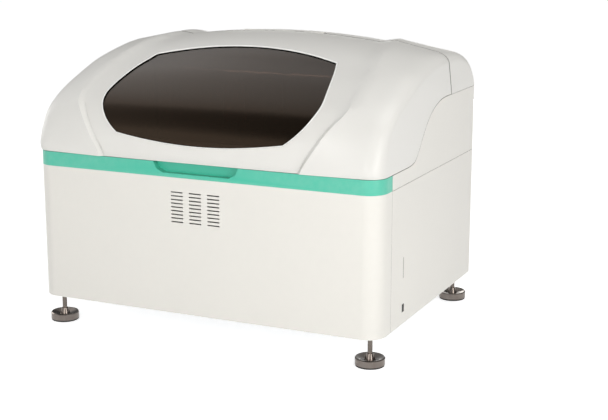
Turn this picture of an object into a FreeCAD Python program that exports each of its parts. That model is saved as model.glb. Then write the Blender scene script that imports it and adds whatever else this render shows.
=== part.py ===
import FreeCAD, Part

import math
import os
import re

import Sketcher
from FreeCAD import Placement, Rotation, Vector

# A bench chemistry analyzer: a moulded casing on levelling feet, a hinged hood with a tinted
# window, and the reagent, reaction, sampling and washing units that stand on its deck.
# The frame: floor at z = 0, centre of the footprint at x = y = 0, front towards -y.
# Heights called "over the body" are measured from the underside of the casing.

SIZES = (
    # casing
    ("body_width", 960),
    ("body_depth", 710),
    ("foot_height", 76),
    ("front_radius", 48),
    ("rear_radius", 29),
    ("skin", 3.5),
    ("seam", 0.8),
    ("fit", 0.2),
    ("running_fit", 0.05),
    ("overrun", 2),
    ("front_wrap", 75.6),
    ("band_bottom", 350),
    ("band_height", 37),
    ("rear_return", 10),
    ("vent_width", 34),
    ("vent_height", 3),
    ("vent_pitch", 9.4),
    ("vent_column", 51),
    ("vent_low", 238),
    ("vent_shift", 9),
    ("groove_width", 2.4),
    ("groove_height", 53),
    ("groove_low", 117),
    ("groove_deep", 1),
    # finger recess in the band
    ("recess_top", 240),
    ("recess_foot", 202),
    ("recess_height", 27),
    ("recess_deep", 20),
    ("recess_wall", 2.5),
    ("recess_shift", 7),
    # hood
    ("hood_split", 491),
    ("hood_seam", 525.1),
    ("hood_skin", 4.2),
    ("hood_gap", 1.5),
    ("split_gap", 5),
    ("hub_radius", 58),
    ("rear_hub_radius", 2),
    ("window_lap", 11),
    ("window_thick", 3),
    # hood hinges
    ("hinge_drop", 3.5),
    ("hinge_radius", 4.5),
    ("hinge_pin", 2),
    ("hinge_length", 60),
    ("hinge_pitch", 90),
    ("hinge_leaf", 60),
    ("leaf_thick", 4.5),
    ("hinge_post_deep", 27),
    ("notch_clear", 1.5),
    # frame
    ("pan_thick", 3),
    ("pan_lip", 20),
    ("post", 25),
    ("post_side", 25),
    ("post_front", 85),
    ("post_rear", 197),
    ("deck_thick", 4),
    ("deck_clear", 1.5),
    ("hinge_post_side", 44),
    ("beam", 30),
    ("beam_drop", 81),
    ("beam_wall", 2.5),
    ("drive_low", 215),
    ("drive_thick", 4),
    ("drive_front", 65),
    ("drive_rear", 183),
    # levelling feet
    ("foot_side", 40),
    ("foot_end", 46),
    ("foot_radius", 37),
    ("pad_radius", 35.5),
    ("pad_height", 4),
    ("cup_height", 17.5),
    ("cup_rim", 2.2),
    ("cup_dish", 6),
    ("collar_radius", 13),
    ("collar_top", 9),
    ("collar_height", 15),
    ("stud_radius", 6),
    ("stud_top", 30),
    ("nut_radius", 11),
    ("nut_height", 11),
    # reagent carousel
    ("reagent_x", -240),
    ("reagent_y", -95),
    ("reagent_bowl", 194),
    ("reagent_low", 245),
    ("bowl_wall", 4),
    ("bowl_lip", 6),
    ("bowl_lip_thick", 3),
    ("bowl_hole", 22),
    ("tray_radius", 186),
    ("tray_low", 262),
    ("tray_thick", 4),
    ("rack_low", 322),
    ("tray_hub", 30),
    ("tray_hub_top", 345),
    ("tube_ring", 170),
    ("tube_radius", 8),
    ("tube_cap", 9.5),
    ("tube_cap_height", 9),
    ("tube_top", 345),
    ("bottle_ring", 113),
    ("bottle_width", 26),
    ("bottle_length", 58),
    ("bottle_top", 336),
    ("bottle_cap", 11),
    ("bottle_cap_height", 10),
    ("hole_clear", 0.4),
    ("knob_radius", 20),
    ("knob_waist", 12),
    ("knob_height", 34),
    ("spindle_radius", 6),
    ("spindle_low", 196),
    ("spindle_flange", 24),
    ("spindle_flange_thick", 6),
    # reaction carousel
    ("reaction_x", 190),
    ("reaction_y", -110),
    ("reaction_bowl", 165),
    ("reaction_low", 290),
    ("ring_radius", 152),
    ("ring_low", 318),
    ("ring_thick", 6),
    ("ring_hub", 28),
    ("ring_hub_height", 16),
    ("cuvette_ring", 140),
    ("cuvette_width", 10),
    ("cuvette_low", 304),
    ("cuvette_top", 338),
    ("cuvette_rim", 12.5),
    ("cuvette_rim_thick", 2),
    # motors
    ("motor_width", 57),
    ("motor_height", 56),
    ("motor_boss", 19),
    ("motor_boss_height", 5),
    # sampling arm
    ("probe_x", -22),
    ("probe_y", 70),
    ("probe_reach", 166),
    ("probe_column_width", 60),
    ("probe_column_top", 400),
    ("probe_sleeve", 17),
    ("probe_sleeve_low", 290),
    ("probe_rod", 10),
    ("probe_rod_low", 352),
    ("arm_low", 455),
    ("arm_plate", 20),
    ("arm_width", 62),
    ("arm_front", 20),
    ("arm_back", 40),
    ("arm_top", 555),
    ("arm_cover_wall", 2.5),
    ("arm_round", 9),
    ("needle_radius", 1.25),
    ("needle_low", 362),
    ("needle_collar", 5),
    ("needle_collar_height", 12),
    ("well_width", 20),
    ("well_bore", 14),
    ("well_deep", 56),
    ("well_lip", 25),
    ("well_lip_thick", 3),
    # cuvette washer
    ("washer_x", 0),
    ("washer_y", -200),
    ("washer_post", 24),
    ("washer_post_top", 408),
    ("washer_rod", 7),
    ("washer_rod_low", 356),
    ("washer_head_low", 410),
    ("washer_head_thick", 14),
    ("washer_head_width", 30),
    ("nozzle_radius", 1.5),
    ("nozzle_low", 342),
    # photometer
    ("photometer_clear", 7),
    ("photometer_length", 62),
    ("photometer_width", 52),
    ("photometer_height", 44),
    ("lens_radius", 12),
    ("lens_length", 8),
    # electrics
    ("supply_side", 150),
    ("supply_end", 140),
    ("supply_length", 180),
    ("supply_width", 110),
    ("supply_height", 62),
    ("board_x", 20),
    ("board_end", 145),
    ("board_length", 260),
    ("board_width", 180),
    ("board_thick", 1.6),
    ("standoff_radius", 3.5),
    ("standoff_height", 12),
    ("standoff_edge", 8),
    ("chip", 32),
    ("chip_height", 4),
    ("fan_x", 170),
    ("fan_z", 205),
    ("fan_width", 120),
    ("fan_deep", 25),
    ("fan_bore", 57),
    ("fan_hub", 20),
    ("fan_blade", 54),
    ("fan_blade_thick", 2),
    ("fan_strut", 6),
    ("fan_strut_thick", 3),
    ("fan_axle", 3),
    ("guard_wire", 1.2),
    ("guard_pitch", 13),
    ("inlet_side", 150),
    ("inlet_z", 110),
    ("inlet_width", 48),
    ("inlet_height", 28),
    ("inlet_deep", 22),
    ("inlet_lip", 4),
    ("inlet_lip_thick", 2.5),
    ("port_side", 150),
    ("port_z", 70),
    ("port_pitch", 34),
    ("port_radius", 8),
    ("port_bore", 4.5),
    ("port_inside", 14),
    # power switch on the right side
    ("switch_y", -196),
    ("switch_z", 41),
    ("switch_width", 13.5),
    ("switch_height", 20),
    ("switch_deep", 22),
    ("switch_wall", 1.3),
    ("rocker_deep", 9.5),
    ("rocker_pivot", 5),
    ("rocker_pin", 1.5),
    # syringe pump
    ("syringe_side", 180),
    ("syringe_end", 120),
    ("syringe_frame_width", 70),
    ("syringe_frame_height", 210),
    ("syringe_plate", 6),
    ("syringe_foot", 60),
    ("syringe_arm", 44),
    ("syringe_arm_thick", 8),
    ("barrel_low", 112),
    ("barrel_length", 74),
    ("barrel_radius", 9),
    ("barrel_bore", 7),
    ("piston_height", 8),
    ("piston_low", 166),
    ("plunger_radius", 2.5),
    ("carriage_low", 62),
    ("carriage_height", 14),
    ("carriage_width", 36),
)

TUBE_COUNT = 36
BOTTLE_COUNT = 16
CUVETTE_COUNT = 36
BLADE_COUNT = 7
VENT_ROWS = 9
ROCKER_SWING = 14
ARM_LEFT = 110
ARM_RIGHT = 95
BLADE_TILT = 35

# How far the hood's front stands out past the casing, and the fittings at the back with it.
NOSE_SHARE = 0.0090

# The hood's length in front of the split and the rear cover's behind it, in shares of the width.
HOOD_LENGTH_SHARE = 0.511458
REAR_LENGTH_SHARE = 0.228125

# Sections of the hood, each in a plane that turns about a line across the casing at the top
# of the band. In order: angle up from the front, then in shares of the casing's width the
# radius on the centre line, the foot of the step (across, radius), the ridge (across, radius),
# the shoulder (across, radius), the top of the side (across, radius) and where the side
# starts to lean.
HOOD_SHARES = (
    (0, 0.5145, 0.2800, 0.5135, 0.2900, 0.5205, 0.4500, 0.5114, 0.5000, 0.4614, 0.300),
    (5.2, 0.5120, 0.3050, 0.5100, 0.3155, 0.5190, 0.4510, 0.5110, 0.4998, 0.4620, 0.290),
    (9.5, 0.5106, 0.3290, 0.5070, 0.3395, 0.5160, 0.4520, 0.5005, 0.4995, 0.4535, 0.281),
    (13.5, 0.5010, 0.3520, 0.4955, 0.3635, 0.5072, 0.4480, 0.4878, 0.4991, 0.4420, 0.273),
    (17, 0.4870, 0.3665, 0.4800, 0.3825, 0.4902, 0.4440, 0.4690, 0.4986, 0.4260, 0.266),
    (21, 0.4630, 0.3705, 0.4545, 0.3895, 0.4628, 0.4410, 0.4439, 0.4980, 0.4015, 0.258),
    (28, 0.4222, 0.3640, 0.4115, 0.3880, 0.4190, 0.4390, 0.4004, 0.4970, 0.3585, 0.245),
    (38, 0.3762, 0.3525, 0.3620, 0.3812, 0.3700, 0.4370, 0.3531, 0.4957, 0.3115, 0.228),
    (50, 0.3420, 0.3405, 0.3240, 0.3712, 0.3310, 0.4360, 0.3131, 0.4945, 0.2715, 0.209),
    (64, 0.3162, 0.3265, 0.2960, 0.3590, 0.3030, 0.4370, 0.2833, 0.4935, 0.2420, 0.188),
    (77, 0.3020, 0.3110, 0.2825, 0.3475, 0.2885, 0.4430, 0.2675, 0.4928, 0.2275, 0.169),
    (90, 0.2960, 0.2930, 0.2765, 0.3360, 0.2830, 0.4510, 0.2590, 0.4925, 0.2200, 0.150),
)

# Sections of the fixed cover behind it, in planes that turn about a line at the height of the
# side seam. The angle is measured back from straight up, and the columns are the same.
REAR_SHARES = (
    (0, 0.1520, 0.293, 0.1325, 0.336, 0.1390, 0.451, 0.1150, 0.4925, 0.0760, 0.010),
    (22, 0.1625, 0.284, 0.1430, 0.326, 0.1500, 0.451, 0.1230, 0.4926, 0.0820, 0.010),
    (42, 0.1860, 0.276, 0.1670, 0.316, 0.1740, 0.452, 0.1470, 0.4930, 0.1040, 0.010),
    (58, 0.2110, 0.270, 0.1970, 0.308, 0.2020, 0.455, 0.1800, 0.4945, 0.1370, 0.020),
    (72, 0.2250, 0.266, 0.2180, 0.302, 0.2205, 0.461, 0.2080, 0.4970, 0.1690, 0.040),
    (82, 0.2278, 0.263, 0.2262, 0.298, 0.2266, 0.466, 0.2220, 0.4990, 0.1880, 0.060),
    (90, 0.2274, 0.260, 0.2274, 0.296, 0.2274, 0.470, 0.2274, 0.5000, 0.1970, 0.080),
)

# The points that draw the seam between the hood and the side cheeks: how far in front of the
# split, as a share of the hood's length, and how far up from the band to the rear seam.
SEAM_CURVE_SHARES = (
    (0.6485, 0),
    (0.5898, 0),
    (0.5331, 0.0269),
    (0.4881, 0.1799),
    (0.4393, 0.3815),
    (0.3845, 0.5900),
    (0.3278, 0.7534),
    (0.2613, 0.8751),
    (0.1890, 0.9585),
    (0.1206, 1),
    (0.0521, 1),
)

# The window's right half seen square to the slope at 45 degrees, in shares of the width:
# how far across, and how far up the slope from the line that the hood's sections turn about.
WINDOW_TOP_SHARE = 0.0588
WINDOW_SIDE_SHARES = (
    (0.272, 0.0038),
    (0.292, -0.0622),
    (0.308, -0.1412),
    (0.314, -0.2052),
    (0.302, -0.2482),
    (0.277, -0.2842),
    (0.241, -0.3122),
)
WINDOW_FOOT_SHARE = -0.3292
WINDOW_SHIFT_SHARE = 0.003
WINDOW_TILT = 45

ALIASES = {alias for alias, number in SIZES}
NODES = []

document = FreeCAD.newDocument("ChemistryAnalyzer")
sheet = document.addObject("Spreadsheet::Sheet", "Sizes")


class SheetReader:
    """Reads a driving size from the sheet by its name."""

    def __getattr__(self, alias):
        return float(sheet.get(alias))


S = SheetReader()


def fill_sheet():
    for row, (alias, number) in enumerate(SIZES, start=1):
        sheet.set(f"A{row}", alias)
        sheet.set(f"B{row}", str(number))
        sheet.setAlias(f"B{row}", alias)
    document.recompute()


def bound(rule):
    """Turns the size names in a rule into references to the sheet."""
    return re.sub(
        r"[a-z][a-z_]*",
        lambda word: "Sizes." + word.group() if word.group() in ALIASES else word.group(),
        rule,
    )


def over_body(rule):
    """A height that is measured from the underside of the casing."""
    return f"foot_height + {rule}"


TURNS = {
    "x": Rotation(Vector(0, 1, 0), 90),
    "y": Rotation(Vector(1, 0, 0), -90),
    "z": Rotation(),
}


def place(item, where, turn=Rotation()):
    item.Placement = Placement(Vector(), turn)
    for axis, rule in zip("xyz", where):
        item.setExpression(f"Placement.Base.{axis}", bound(rule))


def box(name, where, sizes, spin=0):
    """A box whose foot is centred on where; spin turns it about its own upright line."""
    item = document.addObject("Part::Box", name)
    for path, rule in zip(("Length", "Width", "Height"), sizes):
        item.setExpression(path, bound(rule))
    length, width = sizes[:2]
    cosine = math.cos(math.radians(spin))
    sine = math.sin(math.radians(spin))
    x = f"{where[0]} - ({length}) / 2 * {cosine:.9f} + ({width}) / 2 * {sine:.9f}"
    y = f"{where[1]} - ({length}) / 2 * {sine:.9f} - ({width}) / 2 * {cosine:.9f}"
    place(item, (x, y, where[2]), Rotation(Vector(0, 0, 1), spin))
    return item


def rod(name, where, radius, length, along="z"):
    """A cylinder from where along one axis."""
    item = document.addObject("Part::Cylinder", name)
    item.setExpression("Radius", bound(radius))
    item.setExpression("Height", bound(length))
    place(item, where, TURNS[along])
    return item


def cone(name, where, low, high, height):
    item = document.addObject("Part::Cone", name)
    item.setExpression("Radius1", bound(low))
    item.setExpression("Radius2", bound(high))
    item.setExpression("Height", bound(height))
    place(item, where)
    return item


def hexagon(name, where, radius, height):
    item = document.addObject("Part::Prism", name)
    item.Polygon = 6
    item.setExpression("Circumradius", bound(radius))
    item.setExpression("Height", bound(height))
    place(item, where)
    return item


def group(name, parts):
    item = document.addObject("Part::Compound", name)
    item.Links = list(parts)
    return item


def fuse(name, *parts):
    item = document.addObject("Part::MultiFuse", name)
    item.Shapes = list(parts)
    return item


def common(name, *parts):
    item = document.addObject("Part::MultiCommon", name)
    item.Shapes = list(parts)
    return item


def cut(name, base, *tools):
    item = document.addObject("Part::Cut", name)
    item.Base = base
    item.Tool = tools[0] if len(tools) == 1 else group(name + "Tools", tools)
    return item


def ring(name, where, outer, inner, height):
    """A tube that stands on where."""
    bore_foot = (where[0], where[1], f"{where[2]} - overrun")
    hollow = rod(name + "Bore", bore_foot, inner, f"{height} + 2 * overrun")
    return cut(name, rod(name + "Outer", where, outer, height), hollow)


def feature(name, shape):
    item = document.addObject("Part::Feature", name)
    item.Shape = shape
    item.Placement = Placement()
    return item


def node(label, item):
    item.Label = label
    NODES.append(item)
    return item


def around(centre, radius, count, start=0):
    """Yields index, x rule, y rule and angle of places evenly spread on a circle."""
    for index in range(count):
        angle = start + 360 * index / count
        cosine = math.cos(math.radians(angle))
        sine = math.sin(math.radians(angle))
        x = f"{centre[0]} + {cosine:.9f} * {radius}"
        y = f"{centre[1]} + {sine:.9f} * {radius}"
        yield index, x, y, angle


def outline(name, insets, low, height):
    """Pads the casing's plan outline, moved inwards by the sum of the sizes named in insets."""
    body = document.addObject("PartDesign::Body", name)
    sketch = body.newObject("Sketcher::SketchObject", name + "Sketch")
    plane = next(item for item in body.Origin.OriginFeatures if item.Role == "XY_Plane")
    sketch.AttachmentSupport = [(plane, "")]
    sketch.MapMode = "FlatFace"
    inset = "(" + " + ".join(insets or ("0",)) + ")"
    shift = sum(float(sheet.get(alias)) for alias in insets)
    half = S.body_width / 2 - shift
    deep = S.body_depth / 2 - shift
    front = S.front_radius - shift
    rear = S.rear_radius - shift
    lines = (
        (Vector(front - half, -deep, 0), Vector(half - front, -deep, 0)),
        (Vector(half, front - deep, 0), Vector(half, deep - rear, 0)),
        (Vector(half - rear, deep, 0), Vector(rear - half, deep, 0)),
        (Vector(-half, deep - rear, 0), Vector(-half, front - deep, 0)),
    )
    for start, end in lines:
        sketch.addGeometry(Part.LineSegment(start, end), False)
    corners = (
        (half - front, front - deep, front, -90),
        (half - rear, deep - rear, rear, 0),
        (rear - half, deep - rear, rear, 90),
        (front - half, front - deep, front, 180),
    )
    for x, y, radius, angle in corners:
        circle = Part.Circle(Vector(x, y, 0), Vector(0, 0, 1), radius)
        arc = Part.ArcOfCircle(circle, math.radians(angle), math.radians(angle + 90))
        sketch.addGeometry(arc, False)
    for index in range(4):
        sketch.addConstraint(Sketcher.Constraint("Tangent", index, 2, index + 4, 1))
        sketch.addConstraint(Sketcher.Constraint("Tangent", index + 4, 2, (index + 1) % 4, 1))
    for index in (0, 2):
        sketch.addConstraint(Sketcher.Constraint("Horizontal", index))
        sketch.addConstraint(Sketcher.Constraint("Vertical", index + 1))
    sized = (
        ("DistanceY", (0, 1, -1, 1), deep, f"body_depth / 2 - {inset}"),
        ("DistanceX", (-1, 1, 1, 1), half, f"body_width / 2 - {inset}"),
        ("DistanceY", (-1, 1, 2, 1), deep, f"body_depth / 2 - {inset}"),
        ("DistanceX", (3, 1, -1, 1), half, f"body_width / 2 - {inset}"),
        ("Radius", (4,), front, f"front_radius - {inset}"),
        ("Radius", (5,), rear, f"rear_radius - {inset}"),
        ("Radius", (6,), rear, f"rear_radius - {inset}"),
        ("Radius", (7,), front, f"front_radius - {inset}"),
    )
    for kind, places, number, rule in sized:
        index = sketch.addConstraint(Sketcher.Constraint(kind, *places, number))
        sketch.setExpression(f"Constraints[{index}]", bound(rule))
    pad = body.newObject("PartDesign::Pad", name + "Pad")
    pad.Profile = sketch
    pad.setExpression("Length", bound(height))
    place(body, ("0", "0", low))
    return body


def wall(name, low, height):
    """The casing's outline as a wall of one skin."""
    hollow = outline(name + "Inner", ("skin",), f"{low} - overrun", f"{height} + 2 * overrun")
    return cut(name, outline(name + "Outer", (), low, height), hollow)


def front_zone(name, low, height, back):
    """A block that holds all of the casing in front of the distance back from its face."""
    deep = f"{back} + overrun"
    return box(name, ("0", f"-body_depth / 2 - overrun + ({deep}) / 2", low),
               ("body_width + 2 * overrun", deep, height))


# casing: lower covers


def vent_tools():
    """Slots with round ends in three columns, a little left of the front's middle."""
    tools = []
    for column in (-1, 0, 1):
        for row in range(VENT_ROWS):
            tag = f"Vent{column + 1}{row}"
            x = f"{column} * vent_column - vent_shift"
            z = over_body(f"vent_low + {row} * vent_pitch")
            y = "-body_depth / 2 - overrun"
            flat = "vent_width - vent_height"
            deep = "skin + 2 * overrun"
            where = (x, f"{y} + ({deep}) / 2", f"{z} - vent_height / 2")
            bar = box(tag, where, (flat, deep, "vent_height"))
            ends = [
                rod(f"{tag}End{side + 1}", (f"{x} + {side} * ({flat}) / 2", y, z),
                    "vent_height / 2", deep, "y")
                for side in (-1, 1)
            ]
            tools.append(fuse(tag + "Slot", bar, *ends))
    return tools


def make_front_cover():
    shell = wall("FrontWall", over_body("0"), "band_bottom")
    front = common("FrontShell", shell, front_zone("FrontZone", over_body("0"), "band_bottom", "front_wrap"))
    node("front_cover", cut("FrontCover", front, *vent_tools()))


def side_zone(name, side, low, height):
    """A block that holds one side wall behind the front cover and its turned rear edge."""
    back = "body_depth - front_wrap - seam + overrun"
    x = f"{side} * (body_width / 2 + overrun - (rear_radius + rear_return + overrun) / 2)"
    y = f"-body_depth / 2 + front_wrap + seam + ({back}) / 2"
    return box(name, (x, y, low), ("rear_radius + rear_return + overrun", back, height))


def make_side_panels():
    height = "band_bottom - seam"
    shell = wall("SideWall", over_body("0"), height)
    left = common("SideLeft", shell, side_zone("SideZoneLeft", -1, over_body("0"), height))
    node("side_panel_left", left)
    right = common("SideRight", shell, side_zone("SideZoneRight", 1, over_body("0"), height))
    opening = box(
        "SwitchOpening",
        ("body_width / 2", "switch_y", over_body("switch_z - switch_height / 2 - fit")),
        ("4 * skin", "switch_width + 2 * fit", "switch_height + 2 * fit"),
    )
    groove = box(
        "SideGroove",
        ("body_width / 2", "switch_y", over_body("groove_low")),
        ("2 * groove_deep", "groove_width", "groove_height"),
    )
    node("side_panel_right", cut("SideRightCut", right, opening, groove))


def make_rear_panel():
    height = "hood_seam - seam"
    y = "body_depth / 2 - skin / 2"
    wide = "body_width - 2 * (rear_radius + rear_return + seam)"
    panel = box("RearSheet", ("0", y, over_body("0")), (wide, "skin", height))
    start = "body_depth / 2 - skin - overrun"
    deep = "skin + 2 * overrun"
    fan = rod("RearFanHole", ("fan_x", start, over_body("fan_z")), "fan_bore", deep, "y")
    inlet = box(
        "RearInletHole",
        ("inlet_side - body_width / 2", y, over_body("inlet_z - inlet_height / 2 - fit")),
        ("inlet_width + 2 * fit", deep, "inlet_height + 2 * fit"),
    )
    ports = [
        rod(f"RearPortHole{index + 1}",
            (f"body_width / 2 - port_side + {index} * port_pitch", start, over_body("port_z")),
            "port_radius + fit", deep, "y")
        for index in (-1, 0, 1)
    ]
    node("rear_panel", cut("RearPanel", panel, fan, inlet, *ports))


# casing: teal band with its finger recess


def recess_prism(name, grow, front, back):
    """The recess's outline, wider at the top, as a prism between two distances from the face."""
    top = band_top()
    foot = top - S.recess_height - grow
    wide = S.recess_top / 2 + grow
    narrow = S.recess_foot / 2 + grow
    lean = (wide - narrow) / 2
    y = front - S.body_depth / 2
    high = top + (0 if grow else S.overrun)
    corners = [
        Vector(across - S.recess_shift, y, up)
        for across, up in (
            (-wide, high),
            (-narrow - lean, foot + lean),
            (-narrow + lean, foot),
            (narrow - lean, foot),
            (narrow + lean, foot + lean),
            (wide, high),
        )
    ]
    face = Part.Face(Part.makePolygon(corners + corners[:1]))
    return feature(name, face.extrude(Vector(0, back - front, 0)))


def make_trim_band():
    low = over_body("band_bottom")
    shell = wall("BandWall", low, "band_height")
    band = common("BandShell", shell, front_zone("BandZone", low, "band_height", "front_wrap"))
    pocket = recess_prism("RecessPocket", S.recess_wall, S.skin / 2, S.recess_deep)
    hollow = recess_prism("RecessHollow", 0, -S.overrun, S.recess_deep - S.recess_wall)
    node("trim_band", cut("TrimBand", fuse("BandPocket", band, pocket), hollow))


# casing: side cheeks below the hood's seam


def seam_solid(name, lift):
    """Everything under the hood's side seam, raised by lift, across the whole width."""
    unit = S.body_width
    half_deep = S.body_depth / 2 + S.overrun * 10
    climb = S.foot_height + S.hood_seam - band_top()
    points = [
        Vector(0, split_y() - ahead * S.hood_split, band_top() + lift + rise * climb)
        for ahead, rise in SEAM_CURVE_SHARES
    ]
    curve = Part.BSplineCurve()
    curve.buildFromPoles(points)
    front = Vector(0, -half_deep, points[0].z)
    back = Vector(0, half_deep, points[-1].z)
    floor = S.foot_height
    edges = [
        Part.makeLine(front, points[0]),
        curve.toShape(),
        Part.makeLine(points[-1], back),
        Part.makeLine(back, Vector(0, half_deep, floor)),
        Part.makeLine(Vector(0, half_deep, floor), Vector(0, -half_deep, floor)),
        Part.makeLine(Vector(0, -half_deep, floor), front),
    ]
    face = Part.Face(Part.Wire(edges))
    face.translate(Vector(-unit, 0, 0))
    return feature(name, face.extrude(Vector(2 * unit, 0, 0)))


def make_cheeks():
    low = over_body("band_bottom")
    height = "hood_seam - band_bottom"
    shell = wall("CheekWall", low, height)
    under = seam_solid("UnderSeam", 0)
    for side, word in ((-1, "left"), (1, "right")):
        zone = side_zone(f"CheekZone{word}", side, low, height)
        node(f"cheek_{word}", common(f"Cheek{word}", shell, zone, under))


# hood and rear cover: one surface lofted through sections


def bow(start, middle, end):
    curve = Part.BezierCurve()
    curve.setPoles([start, middle, end])
    return curve.toShape()


def section(row, inset, hub, spot):
    """One closed section, moved inwards by inset. Spot turns across and radius into a point."""
    unit = S.body_width
    centre, foot_x, foot, ridge_x, ridge, shoulder_x, shoulder, side_x, side, lean = row[1:]
    centre = centre * unit - inset
    foot = foot * unit - inset
    ridge = ridge * unit - inset
    shoulder = shoulder * unit - inset
    side = side * unit - inset
    foot_x = foot_x * unit
    ridge_x = ridge_x * unit
    shoulder_x = shoulder_x * unit
    side_x = side_x * unit - inset
    straight_x = unit / 2 - inset
    lean = max(lean * unit, hub * 1.5)
    fall = (shoulder - ridge) / (shoulder_x - ridge_x)
    corner = shoulder + fall * (side_x - shoulder_x)
    right = [
        Part.makeLine(spot(straight_x, hub), spot(straight_x, lean)),
        Part.makeLine(spot(straight_x, lean), spot(side_x, side)),
        bow(spot(side_x, side), spot(side_x, corner), spot(shoulder_x, shoulder)),
        Part.makeLine(spot(shoulder_x, shoulder), spot(ridge_x, ridge)),
        Part.makeLine(spot(ridge_x, ridge), spot(foot_x, foot)),
    ]
    left = [
        Part.makeLine(spot(-foot_x, foot), spot(-ridge_x, ridge)),
        Part.makeLine(spot(-ridge_x, ridge), spot(-shoulder_x, shoulder)),
        bow(spot(-shoulder_x, shoulder), spot(-side_x, corner), spot(-side_x, side)),
        Part.makeLine(spot(-side_x, side), spot(-straight_x, lean)),
        Part.makeLine(spot(-straight_x, lean), spot(-straight_x, hub)),
    ]
    crown = bow(spot(foot_x, foot), spot(0, 2 * centre - foot), spot(-foot_x, foot))
    base = Part.makeLine(spot(-straight_x, hub), spot(straight_x, hub))
    return Part.Wire(right + [crown] + left + [base])


def split_y():
    return S.hood_split - S.body_depth / 2


def band_top():
    return S.foot_height + S.band_bottom + S.band_height


def hood_reach():
    """How much longer the hood is than its shares of the width say."""
    return S.hood_split / (HOOD_LENGTH_SHARE * S.body_width)


def rear_reach():
    return (S.body_depth - S.hood_split) / (REAR_LENGTH_SHARE * S.body_width)


def rear_rise():
    """How much taller the rear cover is than its shares say, so that it meets the hood's crown."""
    return (crown_height() - S.foot_height - S.hood_seam) / (REAR_SHARES[0][1] * S.body_width)


def hood_loft(inset):
    """The hood's outer volume from the band to the split, moved inwards by inset."""
    wires = []
    for row in HOOD_SHARES:
        angle = math.radians(row[0])

        def spot(across, radius, angle=angle):
            ahead = radius * math.cos(angle) * hood_reach()
            return Vector(across, split_y() - ahead, band_top() + radius * math.sin(angle))

        wires.append(section(row, inset, S.hub_radius, spot))
    return Part.makeLoft(wires, True, False)


def rear_loft(inset):
    """The fixed rear cover's outer volume from the split to the back."""
    axis_z = S.foot_height + S.hood_seam
    wires = []
    for row in REAR_SHARES:
        angle = math.radians(row[0])

        def spot(across, radius, angle=angle):
            behind = radius * math.sin(angle) * rear_reach()
            return Vector(across, split_y() + behind, axis_z + radius * math.cos(angle) * rear_rise())

        wires.append(section(row, inset, S.rear_hub_radius, spot))
    return Part.makeLoft(wires, True, False)


def window_prism(name, grow):
    """The window's outline grown by a margin, as a prism square to the tilted slope."""
    unit = S.body_width
    tilt = math.radians(WINDOW_TILT)
    widest = max(across for across, up in WINDOW_SIDE_SHARES)
    middle = (WINDOW_TOP_SHARE + WINDOW_FOOT_SHARE) / 2
    tall = (WINDOW_TOP_SHARE - WINDOW_FOOT_SHARE) / 2
    wide_scale = 1 + grow / (widest * unit)
    tall_scale = 1 + grow / (tall * unit)

    def spot(across, up):
        up = (middle + (up - middle) * tall_scale) * unit
        y = split_y() + up * math.sin(tilt) * hood_reach()
        return Vector((across * wide_scale - WINDOW_SHIFT_SHARE) * unit, y, band_top() + up * math.cos(tilt))

    right = [spot(across, up) for across, up in WINDOW_SIDE_SHARES]
    left = [spot(-across, up) for across, up in reversed(WINDOW_SIDE_SHARES)]
    right_side = Part.BSplineCurve()
    right_side.interpolate(right)
    left_side = Part.BSplineCurve()
    left_side.interpolate(left)
    top = Part.Arc(left[-1], spot(0, WINDOW_TOP_SHARE), right[0])
    foot = Part.Arc(right[-1], spot(0, WINDOW_FOOT_SHARE), left[0])
    wire = Part.Wire([right_side.toShape(), foot.toShape(), left_side.toShape(), top.toShape()])
    face = Part.Face(wire)
    out = Vector(0, -math.cos(tilt), math.sin(tilt))
    return feature(name, face.extrude(out * unit))


def crown_height():
    return band_top() + HOOD_SHARES[-1][1] * S.body_width


def hinge_height():
    """The hood's hinge line lies just under the crown at the split."""
    return crown_height() - S.hinge_drop


def hinge_y():
    return split_y() + S.split_gap / 2


def hinge_notches(name):
    """Clearance round each hinge barrel where it comes up through the split."""
    reach = S.hinge_radius + S.notch_clear
    long = S.hinge_length + 2 * S.notch_clear
    blocks = []
    for index in (-1, 0, 1):
        corner = Vector(index * S.hinge_pitch - long / 2, hinge_y() - reach, hinge_height() - 4 * reach)
        blocks.append(Part.makeBox(long, 2 * reach, 8 * reach, corner))
    return feature(name, Part.makeCompound(blocks))


def make_hood(outer, inner, deeper):
    shell = cut("HoodShell", outer, inner)
    seam_cut = seam_solid("OverSeam", S.hood_gap)
    window = window_prism("WindowOpening", 0)
    trimmed = cut("HoodTrimmed", shell, seam_cut)
    node("lid_shell", cut("LidShell", trimmed, window, hinge_notches("LidNotches")))
    pane = cut("PaneLayer", inner, deeper)
    node("lid_window", common("LidWindow", pane, window_prism("WindowPane", S.window_lap)))


def make_rear_cover():
    shell = cut("RearShell", feature("RearOuter", rear_loft(0)), feature("RearInner", rear_loft(S.hood_skin)))
    low = over_body("hood_seam + seam")
    deep = "body_depth - hood_split - split_gap + overrun"
    y = f"hood_split + split_gap - body_depth / 2 + ({deep}) / 2"
    zone = box("RearZone", ("0", y, low), ("body_width + 2 * overrun", deep, "body_width / 2"))
    node("rear_top_cover", cut("RearTopCover", common("RearKept", shell, zone), hinge_notches("RearNotches")))


# hood hinges


def hinge_barrels(spans):
    """Barrels on the hinge line for all hinges; each span is a pair of shares of a hinge."""
    pieces = []
    for index in (-1, 0, 1):
        for start, end in spans:
            low = index * S.hinge_pitch + (start - 1 / 2) * S.hinge_length + S.fit / 2
            long = (end - start) * S.hinge_length - S.fit
            where = Vector(low, hinge_y(), hinge_height())
            pieces.append((low, long, Part.makeCylinder(S.hinge_radius, long, where, Vector(1, 0, 0))))
    return pieces


def hinge_bores(radius):
    long = S.hinge_length - S.fit
    bores = []
    for index in (-1, 0, 1):
        where = Vector(index * S.hinge_pitch - long / 2, hinge_y(), hinge_height())
        bores.append(Part.makeCylinder(radius, long, where, Vector(1, 0, 0)))
    return bores


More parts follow.
